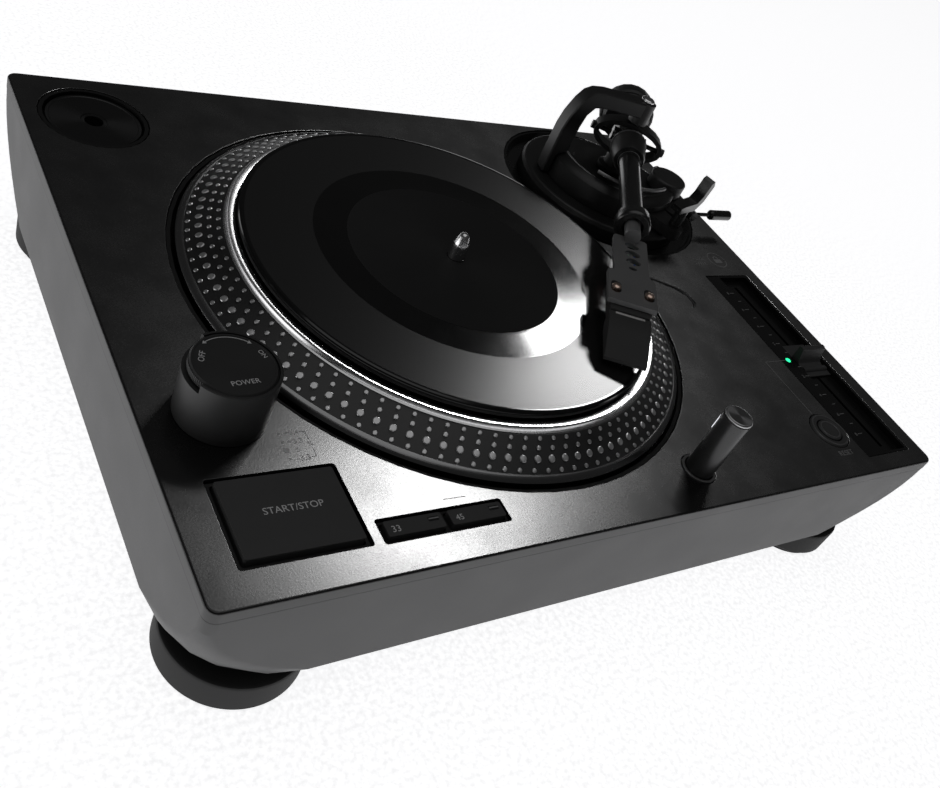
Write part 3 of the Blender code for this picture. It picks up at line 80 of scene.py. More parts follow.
SPINDLE_AXIS = (-0.0316, -0.0024)
KNOB_AXIS = (-0.1471, -0.0619)
ADAPTER_AXIS = (-0.1455, 0.1030)
LAMP_AXIS = (0.0287, -0.1139)
RESET_AXIS = (0.1214, -0.1062)
PIVOT = Vector((0.1104, 0.0731, 0.0988))
ARM_ANGLE = math.radians(234.5)
SHELL_ROLL = math.radians(6.0)
DECK_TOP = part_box("deck_plate")[1].z


class Nodes:
    """The node tree of one material, with short calls for the nodes that it needs."""

    def __init__(self, name: str) -> None:
        """Starts a tree with a Principled shader and its output."""
        self.material = bpy.data.materials.new(name)
        self.material.use_nodes = True
        self.tree = self.material.node_tree
        self.tree.nodes.clear()
        self.shader = self.tree.nodes.new("ShaderNodeBsdfPrincipled")
        out = self.tree.nodes.new("ShaderNodeOutputMaterial")
        self.tree.links.new(self.shader.outputs[0], out.inputs[0])

    def add(self, kind: str, inputs: dict | None = None, **settings: object) -> bpy.types.Node:
        """Adds a node.

        Args:
            kind: the node's type, without its ShaderNode prefix.
            inputs: a number, colour or socket for each input, by name or index.
            settings: the node's own properties.

        Returns:
            The new node.
        """
        node = self.tree.nodes.new("ShaderNode" + kind)
        for key, value in settings.items():
            setattr(node, key, value)
        for key, value in (inputs or {}).items():
            self.put(node, key, value)
        return node

    def put(self, node: bpy.types.Node, key: str | int, value: object) -> None:
        """Links a socket to a node's input, or sets its value."""
        if isinstance(value, Socket):
            self.tree.links.new(value, node.inputs[key])
        else:
            node.inputs[key].default_value = value

    def sum(self, operation: str, first: object, second: object) -> Socket:
        """One arithmetic step on two numbers or sockets."""
        return self.add("Math", {0: first, 1: second}, operation=operation).outputs[0]

    def times(self, first: object, second: object) -> Socket:
        """The product of two numbers or sockets."""
        return self.sum("MULTIPLY", first, second)

    def place(self) -> Socket:
        """Position on the piece, in metres."""
        return self.add("TexCoord").outputs["Object"]

    def noise(self, where: Socket, size: float, detail: float = 2.0) -> Socket:
        """Smooth random values, 0 to 1, whose patches are about the given size in metres."""
        made = self.add("TexNoise", {"Vector": where, "Scale": 1.0 / size, "Detail": detail})
        return made.outputs[0]

    def spread(self, value: object, low: float, high: float,
               start: float = 0.3, end: float = 0.7) -> Socket:
        """Carries values between start and end over to low and high."""
        made = self.add("MapRange", {0: value, 1: start, 2: end, 3: low, 4: high})
        return made.outputs[0]

    def shade(self, amount: object, dark: tuple, light: tuple) -> Socket:
        """A colour between two, by an amount from 0 to 1."""
        mix = self.add("Mix", data_type="RGBA")
        self.put(mix, 0, amount)
        mix.inputs[6].default_value = (*dark, 1.0)
        mix.inputs[7].default_value = (*light, 1.0)
        return mix.outputs[2]

    def relief(self, height: Socket, depth: float) -> None:
        """Small relief of the given depth in metres."""
        bump = self.add("Bump", {"Height": height, "Distance": depth, "Strength": 1.0})
        self.put(self.shader, "Normal", bump.outputs[0])

    def radius(self, centre: Pair) -> Socket:
        """Distance from an upright axis, in metres."""
        moved = self.add("Mapping", {0: self.place(), 1: (-centre[0], -centre[1], 0.0)})
        flat = self.add("VectorMath", {0: moved.outputs[0], 1: (1.0, 1.0, 0.0)},
                        operation="MULTIPLY")
        return self.add("VectorMath", {0: flat.outputs[0]}, operation="LENGTH").outputs["Value"]


@dataclass(frozen=True)
class Finish:
    """A painted, moulded or metal surface: a shade that drifts a little under a fine grain.

    Fields hold the reflectance of red, green and blue, how much it drifts, the roughness and
    its drift, the size and depth of the grain in metres, and whether it is metal.
    """

    name: str
    shade: Triple
    drift: float = 0.12
    roughness: float = 0.4
    scatter: float = 0.06
    grain: float = 0.0004
    depth: float = 0.00001
    metal: float = 0.0
    specular: float = 0.5

    def material(self) -> bpy.types.Material:
        """The finish as a material, made once."""
        found = bpy.data.materials.get(self.name)
        return found if found else self.build()

    def base(self) -> Nodes:
        """The nodes that every finish has: drifting shade and roughness, and grain."""
        nodes = Nodes(self.name)
        where = nodes.place()
        broad = nodes.noise(where, 0.018, 3.0)
        fine = nodes.noise(where, self.grain, 2.0)
        dark = tuple(c * (1.0 - self.drift) for c in self.shade)
        light = tuple(min(1.0, c * (1.0 + self.drift)) for c in self.shade)
        both = nodes.sum("ADD", nodes.times(broad, 0.6), nodes.times(fine, 0.4))
        colour = nodes.shade(nodes.spread(both, 0.0, 1.0), dark, light)
        nodes.put(nodes.shader, "Base Color", colour)
        rough = nodes.spread(both, self.roughness - self.scatter, self.roughness + self.scatter)
        nodes.put(nodes.shader, "Roughness", rough)
        nodes.shader.inputs["Metallic"].default_value = self.metal
        nodes.shader.inputs["Specular IOR Level"].default_value = self.specular
        nodes.relief(fine, self.depth)
        return nodes

    def build(self) -> bpy.types.Material:
        """Makes the material."""
        return self.base().material


@dataclass(frozen=True)
class Turned(Finish):
    """A lathe-turned surface, whose fine rings draw a highlight out across them."""

    centre: Pair = (0.0, 0.0)
    pitch: float = 0.0003
    stretch: float = 0.8

    def build(self) -> bpy.types.Material:
        """Adds rings about the axis, and the stretched highlight that they give."""
        nodes = self.base()
        along = nodes.radius(self.centre)
        rings = nodes.sum("SINE", nodes.times(along, TAU / self.pitch), 0.0)
        nodes.relief(rings, self.depth)
        nodes.shader.inputs["Anisotropic"].default_value = self.stretch
        tangent = nodes.add("Tangent", direction_type="UV_MAP")
        nodes.put(nodes.shader, "Tangent", tangent.outputs[0])
        return nodes.material


@dataclass(frozen=True)
class Ribbed(Finish):
    """A gripped rim, with ribs evenly round it."""

    count: int = 90

    def build(self) -> bpy.types.Material:
        """Adds upright ribs that follow the piece's own map."""
        nodes = self.base()
        split = nodes.add("SeparateXYZ", {0: nodes.add("TexCoord").outputs["UV"]})
        ribs = nodes.sum("SINE", nodes.times(split.outputs[0], TAU * self.count), 0.0)
        nodes.relief(ribs, self.depth)
        return nodes.material


@dataclass(frozen=True)
class Vinyl(Finish):
    """Pressed vinyl: grooves in bands about the spindle, with the fan of light they throw."""

    def build(self) -> bpy.types.Material:
        """Sets grooves, bands and the stretched highlight across the grooves."""
        nodes = Nodes(self.name)
        away = nodes.radius(SPINDLE_AXIS)
        bands = nodes.add("TexNoise", {"W": away, "Scale": 900.0, "Detail": 3.0},
                          noise_dimensions="1D").outputs[0]
        tracks = nodes.add("TexNoise", {"W": away, "Scale": 170.0, "Detail": 1.0},
                           noise_dimensions="1D").outputs[0]
        mixed = nodes.sum("ADD", nodes.times(bands, 0.55), nodes.times(tracks, 0.45))
        rough = nodes.spread(mixed, self.roughness - 0.13, self.roughness + 0.16, 0.35, 0.65)
        nodes.put(nodes.shader, "Roughness", rough)
        colour = nodes.shade(nodes.spread(mixed, 0.0, 1.0, 0.35, 0.65), self.shade,
                             tuple(c * 2.4 for c in self.shade))
        nodes.put(nodes.shader, "Base Color", colour)
        wave = nodes.sum("SINE", nodes.times(away, TAU / 0.00042), 0.0)
        grooves = nodes.sum("ADD", wave, nodes.times(bands, 25.0))
        nodes.relief(grooves, self.depth)
        nodes.shader.inputs["Anisotropic"].default_value = 0.93
        nodes.shader.inputs["Specular IOR Level"].default_value = self.specular
        tangent = nodes.add("Tangent", direction_type="UV_MAP")
        nodes.put(nodes.shader, "Tangent", tangent.outputs[0])
        return nodes.material


@dataclass(frozen=True)
class Glow(Finish):
    """A lit lamp or lens, brighter in patches."""

    power: float = 2.0

    def build(self) -> bpy.types.Material:
        """Adds light of its own to the finish."""
        nodes = self.base()
        nodes.shader.inputs["Emission Color"].default_value = (*self.shade, 1.0)
        lit = nodes.spread(nodes.noise(nodes.place(), 0.002), self.power * 0.9, self.power * 1.1)
        nodes.put(nodes.shader, "Emission Strength", lit)
        return nodes.material


def grey(level: float) -> Triple:
    """A neutral shade."""
    return (level, level, level * 1.01)


class Look(Enum):
    """The finishes of the record player."""

    DECK = Finish("deck_powder_coat", grey(0.007), 0.25, 0.26, 0.04, 0.0006, 0.000012)
    # The body's paint is the deck's black paint made lighter: painted light where the lamps fall on
    # the sides.
    BODY = Finish("body_powder_coat", grey(0.085), 0.05, 0.46, 0.05, 0.0006, 0.000012,
                  specular=0.22)
    KEY = Finish("key_plastic", grey(0.060), 0.10, 0.50, 0.05, 0.0003, 0.000006)
    DARK = Finish("dark_plastic", grey(0.012), 0.20, 0.38, 0.06, 0.0004, 0.000008)
    HOLLOW = Finish("recess_plastic", grey(0.006), 0.20, 0.45, 0.06, 0.0004, 0.000008)
    KNOB = Finish("knob_coat", grey(0.030), 0.15, 0.42, 0.05, 0.0004, 0.000010)
    GRIP = Ribbed("knob_grip", grey(0.020), 0.15, 0.45, 0.05, 0.0004, 0.00022, count=110)
    RUBBER = Finish("rubber", grey(0.018), 0.20, 0.75, 0.08, 0.0005, 0.000020)
    BAND = Finish("platter_black", grey(0.006), 0.20, 0.36, 0.06, 0.0004, 0.000010)
    DOT = Finish("strobe_dot", grey(0.62), 0.10, 0.34, 0.05, 0.0005, 0.000006, metal=0.85)
    LIP = Turned("platter_lip", grey(0.72), 0.06, 0.26, 0.04, 0.0004, 0.0000012, metal=1.0,
                 centre=SPINDLE_AXIS, pitch=0.0004, stretch=0.7)
    RIM = Turned("platter_rim", grey(0.30), 0.08, 0.24, 0.04, 0.0004, 0.0000012, metal=1.0,
                 centre=SPINDLE_AXIS, pitch=0.0004, stretch=0.6)
    VINYL = Vinyl("vinyl", grey(0.004), roughness=0.40, depth=0.0000026, specular=0.9)
    WAX = Finish("vinyl_smooth", grey(0.003), 0.2, 0.10, 0.03, 0.0008, 0.000002, specular=0.6)
    LABEL = Turned("label_paper", grey(0.018), 0.10, 0.60, 0.05, 0.0004, 0.0000015, specular=0.3,
                   centre=SPINDLE_AXIS, pitch=0.0012, stretch=0.3)
    FELT = Finish("slip_mat_felt", grey(0.020), 0.30, 0.92, 0.04, 0.0003, 0.000080)
    SILVER = Finish("bright_metal", grey(0.80), 0.05, 0.22, 0.05, 0.0004, 0.000003, metal=1.0)
    SATIN = Finish("satin_metal", grey(0.34), 0.06, 0.40, 0.05, 0.0003, 0.000005, metal=0.9)
    SHELL = Finish("headshell_satin", grey(0.20), 0.06, 0.46, 0.05, 0.0003, 0.000006, metal=0.4)
    GLOSS = Finish("gloss_black_metal", grey(0.010), 0.15, 0.24, 0.05, 0.0005, 0.000004,
                   specular=0.8)
    ARM = Finish("arm_black_metal", grey(0.014), 0.15, 0.42, 0.06, 0.0004, 0.000008, specular=0.5)
    IRON = Finish("black_iron", grey(0.030), 0.15, 0.42, 0.06, 0.0005, 0.000012)
    GOLD = Finish("gilt_metal", (0.82, 0.62, 0.52), 0.06, 0.28, 0.05, 0.0003, 0.000004, metal=1.0)
    WHITE = Finish("stylus_white", (0.70, 0.69, 0.68), 0.06, 0.40, 0.06, 0.0004, 0.000006)
    INK = Finish("print_white", grey(0.75), 0.12, 0.60, 0.06, 0.0003, 0.000003)
    FAINT = Finish("print_grey", grey(0.30), 0.12, 0.60, 0.06, 0.0003, 0.000003)
    GREEN = Glow("green_lamp", (0.02, 0.75, 0.28), power=2.2)
    LENS = Glow("strobe_lens", (0.75, 0.76, 0.80), power=1.2)
    BOARD = Finish("circuit_board", (0.02, 0.10, 0.045), 0.35, 0.50, 0.08, 0.0015, 0.000040)
    COPPER = Finish("copper_winding", (0.62, 0.30, 0.16), 0.15, 0.38, 0.06, 0.0006, 0.000050,
                    metal=1.0)
    ADAPTER = Turned("adapter_black", grey(0.045), 0.08, 0.30, 0.04, 0.0004, 0.0000015, metal=0.7,
                     centre=ADAPTER_AXIS, pitch=0.0005, stretch=0.9)
    LAMP_TOP = Turned("lamp_top", grey(0.48), 0.06, 0.30, 0.04, 0.0004, 0.0000012, metal=1.0,
                      centre=LAMP_AXIS, pitch=0.0003, stretch=0.9)
    LAMP = Finish("lamp_barrel", grey(0.060), 0.10, 0.30, 0.05, 0.0004, 0.000004, metal=0.7)
    WIRE_RED = Finish("wire_red", (0.55, 0.03, 0.03), roughness=0.45)
    WIRE_GREEN = Finish("wire_green", (0.03, 0.40, 0.12), roughness=0.45)
    WIRE_BLUE = Finish("wire_blue", (0.04, 0.10, 0.45), roughness=0.45)

    def material(self) -> bpy.types.Material:
        """The finish's material."""
        return self.value.material()


def link(mesh: Mesh, look: Look, body: str, slot: str, crease: float = 32.0,
         node: str = "") -> bpy.types.Object:
    """Shows a finished mesh as a piece that rides on a body.

    Args:
        mesh: the mesh, in place.
        look: the piece's finish.
        body: the body that it rides on.
        slot: the record's material slot; not used.
        crease: edges sharper than this many degrees stay sharp.
        node: the CAD node that the piece stands in for, if any.

    Returns:
        The piece.
    """
    if not mesh.materials:
        mesh.materials.append(look.material())
    mesh.shade_smooth()
    mesh.set_sharp_from_angle(angle=math.radians(crease))
    piece = bpy.data.objects.new(mesh.name, mesh)
    bpy.context.scene.collection.objects.link(piece)
    even = piece.modifiers.new("even_normals", "WEIGHTED_NORMAL")
    even.weight = 90
    even.keep_sharp = True
    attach(piece, body)
    if node:
        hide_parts(node)
    LOG.info("piece %s on %s: %d faces", piece.name, body, len(mesh.polygons))
    return piece


def tidy(mesh: Mesh, outward: bool = True) -> None:
    """Joins points that coincide, drops faces with no area and turns faces outwards."""
    shape = bmesh.new()
    shape.from_mesh(mesh)
    bmesh.ops.remove_doubles(shape, verts=shape.verts, dist=1e-7)
    bmesh.ops.dissolve_degenerate(shape, edges=shape.edges, dist=1e-7)
    if outward:
        bmesh.ops.recalc_face_normals(shape, faces=shape.faces)
    shape.to_mesh(mesh)
    shape.free()


def woven(name: str, points: np.ndarray, around: bool = True, ends: bool = False) -> Mesh:
    """A mesh of quads over a grid of points, mapped by column and row.

    Args:
        name: the mesh's name.
        points: rows by columns by 3, in metres.
        around: whether the last column joins the first.
        ends: whether the first and last rows are closed by a face.

    Returns:
        The mesh, its poles closed.
    """
    rows, columns = points.shape[:2]
    spans = columns if around else columns - 1
    row, column = np.meshgrid(np.arange(rows - 1), np.arange(spans), indexing="ij")
    beside = (column + 1) % columns
    near, far = row * columns, (row + 1) * columns
    quads = np.stack([near + column, near + beside, far + beside, far + column], -1)
    faces = quads.reshape(-1, 4).tolist()
    if ends:
        faces += [list(range(columns))[::-1], [(rows - 1) * columns + i for i in range(columns)]]
    mesh = bpy.data.meshes.new(name)
    mesh.from_pydata(points.reshape(-1, 3).tolist(), [], faces)
    across = np.stack([column, column + 1, column + 1, column], -1).reshape(-1) / spans
    up = np.stack([row, row, row + 1, row + 1], -1).reshape(-1) / max(1, rows - 1)
    flat = np.zeros((len(mesh.loops), 2), np.float32)
    flat[: len(across), 0] = across
    flat[: len(up), 1] = up
    mesh.uv_layers.new(name="UVMap").data.foreach_set("uv", flat.reshape(-1))
    tidy(mesh)
    return mesh


def raised(profile: list, base: float) -> list:
    """A profile's points with their heights measured from a base."""
    return [(radius, base + height) for radius, height in profile]


def spun(name: str, profile: list, centre: Pair, steps: int = 128) -> Mesh:
    """A turned solid: the profile's radius and height carried round an upright axis.

    Each point is (x + r cos a, y + r sin a, z) for its radius r and height z at angle a.
    """
    outline = np.array(profile, float)
    angle = np.arange(steps) * TAU / steps
    points = np.stack([centre[0] + outline[:, :1] * np.cos(angle),
                       centre[1] + outline[:, :1] * np.sin(angle),
                       np.repeat(outline[:, 1:], steps, axis=1)], -1)
    return woven(name, points)


def bar(name: str, path: list, width: float, low: float, high: float) -> Mesh:
    """A flat strip of even width along a path, offset both ways along each corner's bisector."""
    line = np.array(path, float)
    step = np.diff(line, axis=0)
    step /= np.linalg.norm(step, axis=1, keepdims=True)
    side = np.stack([-step[:, 1], step[:, 0]], -1)
    bisector = np.vstack([side[:1], side[:-1] + side[1:], side[-1:]])
    bisector /= np.maximum((bisector * np.vstack([side[:1], side])).sum(1, keepdims=True), 0.2)
    left, right = line + bisector * width / 2, line - bisector * width / 2
    corners = np.stack([left, right, right, left], 1)
    heights = np.array([high, high, low, low])[None, :, None].repeat(len(line), 0)
    return woven(name, np.concatenate([corners, heights], -1), ends=True)


def tube(name: str, path: np.ndarray, radius: float, steps: int = 10) -> Mesh:
    """A round bar: a circle carried along a path, square to it at each point."""
    ahead = np.gradient(path, axis=0)
    ahead /= np.linalg.norm(ahead, axis=1, keepdims=True)
    side = np.cross(ahead, np.where(np.abs(ahead[:, 2:]) > 0.9, [[1.0, 0, 0]], [[0, 0, 1.0]]))
    side /= np.linalg.norm(side, axis=1, keepdims=True)
    over = np.cross(side, ahead)
    angle = np.arange(steps) * TAU / steps
    ring = side[:, None] * np.cos(angle)[:, None] + over[:, None] * np.sin(angle)[:, None]
    return woven(name, path[:, None] + radius * ring, ends=True)


def arc(centre: tuple, radius: float, start: float, end: float, steps: int = 24) -> np.ndarray:
    """Points on a flat arc, between two angles in degrees."""
    angle = np.radians(np.linspace(start, end, steps))
    return np.stack([centre[0] + radius * np.cos(angle), centre[1] + radius * np.sin(angle)], -1)


def joined(name: str, meshes: list[Mesh]) -> Mesh:
    """Several meshes as one."""
    shape = bmesh.new()
    for mesh in meshes:
        shape.from_mesh(mesh)
        bpy.data.meshes.remove(mesh)
    result = bpy.data.meshes.new(name)
    shape.to_mesh(result)
    shape.free()
    return result


def letters(words: str, centre: tuple, width: float, low: float, turn: float = 0.0,
            high: float = INK_HIGH) -> Mesh:
    """Printed words as a thin flat mesh.

    Args:
        words: the text.
        centre: the middle of the text.
        width: its length in metres.
        low: height of the surface that it is printed on.
        turn: direction of reading, in degrees.
        high: thickness of the print.

    Returns:
        The mesh, in place.
    """
    curve = bpy.data.curves.new(words, "FONT")
    curve.body = words
    curve.extrude = 0.01
    curve.resolution_u = 3
    holder = bpy.data.objects.new(words, curve)
    bpy.context.scene.collection.objects.link(holder)
    bpy.context.view_layer.update()
    graph = bpy.context.evaluated_depsgraph_get()
    mesh = bpy.data.meshes.new_from_object(holder.evaluated_get(graph))
    bpy.data.objects.remove(holder)
    bpy.data.curves.remove(curve)
    points = np.zeros(len(mesh.vertices) * 3)
    mesh.vertices.foreach_get("co", points)
    points = points.reshape(-1, 3)
    points -= (points.min(0) + points.max(0)) / 2
    points[:, :2] *= width / np.ptp(points[:, 0])
    a = math.radians(turn)
    x = centre[0] + points[:, 0] * math.cos(a) - points[:, 1] * math.sin(a)
    y = centre[1] + points[:, 0] * math.sin(a) + points[:, 1] * math.cos(a)
    z = low + np.where(points[:, 2] > 0, high, -high)
    mesh.vertices.foreach_set("co", np.stack([x, y, z], -1).reshape(-1))
    mesh.materials.clear()
    tidy(mesh)
    return mesh


def copied(node: str) -> bmesh.types.BMesh:
    """A CAD node's surface with its points merged and its flat faces joined."""
    shape = bmesh.new()
    shape.from_mesh(frame["nodes"][node].data)
    bmesh.ops.remove_doubles(shape, verts=shape.verts, dist=1e-6)
    bmesh.ops.dissolve_limit(shape, angle_limit=math.radians(0.6), verts=shape.verts,
                             edges=shape.edges)
    return shape


def carried(node: str, look: Look, slot: str, edge: float = 0.0,
            crease: float = 32.0) -> bpy.types.Object:
    """Shows a CAD solid smooth: its surface merged, its flat faces joined, its edges eased.

    Args:
        node: the CAD node that the piece stands for.
        look: the finish.
        slot: the record's material slot.
        edge: width of the eased edges, 0 for none.
        crease: edges sharper than this many degrees are eased and stay sharp.

    Returns:
        The piece.
    """
    shape = copied(node)
    if edge:
        sharp = [e for e in shape.edges if len(e.link_faces) == 2
                 and e.calc_face_angle(0.0) > math.radians(crease)]
        bmesh.ops.bevel(shape, geom=sharp, offset=edge, segments=2, profile=0.5,
                        affect="EDGES", clamp_overlap=True)
    mesh = bpy.data.meshes.new(node + "_finished")
    shape.to_mesh(mesh)
    shape.free()
    return link(mesh, look, frame["nodes"][node]["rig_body"], slot, crease, node)


def on_arm(mesh: Mesh, roll: float = 0.0) -> Mesh:
    """Moves a mesh made along +X about the origin on to the tonearm's axis, rolled about it."""
    mesh.transform(Matrix.Translation(PIVOT) @ Matrix.Rotation(ARM_ANGLE, 4, "Z")
                   @ Matrix.Rotation(roll, 4, "X"))
    return mesh


def lathe(name: str, profile: list, steps: int = 64) -> Mesh:
    """A turned solid about +X: each point lies at its distance along, its radius off the axis."""
    mesh = spun(name, [(r, x) for x, r in profile], (0.0, 0.0), steps)
    mesh.transform(Matrix.Rotation(math.pi / 2, 4, "Y"))
    return mesh


def dressed(looks: dict[str, Look]) -> None:
    """Gives CAD nodes that stay as they are their finishes."""
    for node, look in looks.items():
        data = frame["nodes"][node].data
        data.materials.clear()
        data.materials.append(look.material())
        LOG.info("node %s: %s", node, look.name)


@dataclass
class Deck:
    """The black top plate with its rounded edge, the body under it, and the printing on it."""

    edge: float = 0.0009
    mouth: float = 0.00028
    reach: float = 0.0045
    seam: float = 0.0004
    screw: Pair = (0.1520, 0.0241)

    def build(self) -> None:
        """Builds the plate, the body and the prints."""
        self.plate()
        # The body takes the lighter paint: painted light on its sides.
        for node in ("plinth_shell", "service_cover"):
            carried(node, Look.BODY, "body_paint", crease=25.0)
        self.prints()

    def plate(self) -> None:
        """The top plate: outer edge rounded, openings eased, its sides in the body's lighter paint
        as painted light, its foot below the seam dark as painted shade.
        """
        shape = copied("deck_plate")
        low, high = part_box("deck_plate")

        def outer(vertex: bmesh.types.BMVert) -> bool:
            """Whether a point lies by the plate's outline."""
            return (abs(vertex.co.x) > high.x - self.reach
                    or abs(vertex.co.y) > high.y - self.reach)

        def top(e: bmesh.types.BMEdge) -> bool:
            """Whether an edge is a sharp one of the upper face."""
            return (all(v.co.z > high.z - 1e-5 for v in e.verts) and len(e.link_faces) == 2
                    and e.calc_face_angle(0.0) > 0.6)

        bmesh.ops.bisect_plane(shape, geom=[*shape.verts, *shape.edges, *shape.faces], dist=1e-7,
                               plane_co=(0.0, 0.0, low.z + self.seam), plane_no=(0.0, 0.0, 1.0))
        rim = [e for e in shape.edges if top(e) and all(outer(v) for v in e.verts)]
        bmesh.ops.bevel(shape, geom=rim, offset=self.edge, segments=4, profile=0.5, affect="EDGES",
                        clamp_overlap=True)
        mouths = [e for e in shape.edges if top(e) and not any(outer(v) for v in e.verts)]
        bmesh.ops.bevel(shape, geom=mouths, offset=self.mouth, segments=2, profile=0.5,
                        affect="EDGES", clamp_overlap=True)
        mesh = bpy.data.meshes.new("deck")
        mesh.materials.append(Look.DECK.material())
        mesh.materials.append(Look.BODY.material())
        mesh.materials.append(Look.HOLLOW.material())
        for face in shape.faces:
            middle = face.calc_center_median()
            # Upright faces at the outline take the lighter body paint: painted light on the plate's
            # sides.
            beside = abs(middle.x) > high.x - 0.002 or abs(middle.y) > high.y - 0.002
            face.material_index = 1 if beside and face.normal.z < 0.35 else 0
            # The strip below the seam takes the dark recess finish: painted shade in the gap
            # between deck and body.
            if middle.z < low.z + self.seam:
                face.material_index = 2
        shape.to_mesh(mesh)
        shape.free()
        link(mesh, Look.DECK, "base", "black_paint", 40.0, "deck_plate")

    def prints(self) -> None:
        """The scale by the strobe lamp, the reset line, the lock mark and its words."""
        z = DECK_TOP
        scale = [letters(w, (x * MM, y * MM), s * MM, z, high=INK_LOW) for w, x, y, s in (
            ("+6.4", -127.4, -73.4, 5.0), ("+3.3", -127.4, -77.0, 5.0), ("0", -127.9, -80.5, 1.2),
            ("-3.3", -127.2, -84.0, 4.6), ("%", -122.8, -78.6, 1.8))]
        scale += [self.dot(r, (-131.7 * MM, y * MM), 16) for y, r in (
            (-73.4, 0.00045), (-77.0, 0.00045), (-80.5, 0.00105), (-84.0, 0.00045))]
        for path in (((-124.4, -73.4), (-122.7, -73.4), (-122.7, -76.9)),
                     ((-124.4, -84.0), (-122.7, -84.0), (-122.7, -80.4))):
            scale.append(self.stroke(np.array(path) * MM, 0.00025))
        scale.append(self.stroke(np.array(((-87.6, -108.2), (-78.9, -108.4))) * MM, 0.00022))
        link(joined("strobe_scale_print", scale), Look.INK, "base", "white")
        line = np.array(((134.6, -61.9), (119.7, -61.9), (119.9, -95.6))) * MM
        words = [self.stroke(line, 0.00030)]
        words += [letters(w, (x * MM, y * MM), s * MM, z, high=INK_LOW) for w, x, y, s in (
            ("RESET", 119.9, -119.1, 9.5), ("LOCK", 139.3, 14.4, 6.0), ("FREE", 138.4, 10.6, 6.0))]
        words += [self.dot(0.0004, (x * MM, y * MM), 12) for x, y in ((134.6, 14.4), (133.8, 10.6))]
        words.append(self.stroke(arc((0.1522, 0.0136), 0.0058, 0, 352, 48), 0.00045))
        words.append(self.stroke(arc((0.1522, 0.0146), 0.0016, 0, 180, 12), 0.0006))
        words.append(self.stroke(np.array(((149.6, 12.6), (154.8, 12.6))) * MM, 0.0030))
        link(joined("deck_print", words), Look.FAINT, "base", "white")
        screw = raised([(0, -0.0004), (0.0010, -0.0004), (0.0011, 0.0001), (0.0005, 0.0002),
                        (0, 0.00005)], z)
        link(spun("deck_screw", screw, self.screw, 20), Look.SATIN, "base", "silver")

    def stroke(self, path: np.ndarray, width: float) -> Mesh:
        """A printed line on the deck."""
        return bar("stroke", path, width, DECK_TOP - INK_LOW, DECK_TOP + INK_LOW)

    def dot(self, radius: float, centre: Pair, steps: int) -> Mesh:
        """A printed dot on the deck."""
        return spun("dot", raised([(0, -INK_LOW), (radius, -INK_LOW), (radius, INK_LOW),
                                   (0, INK_LOW)], DECK_TOP), centre, steps)


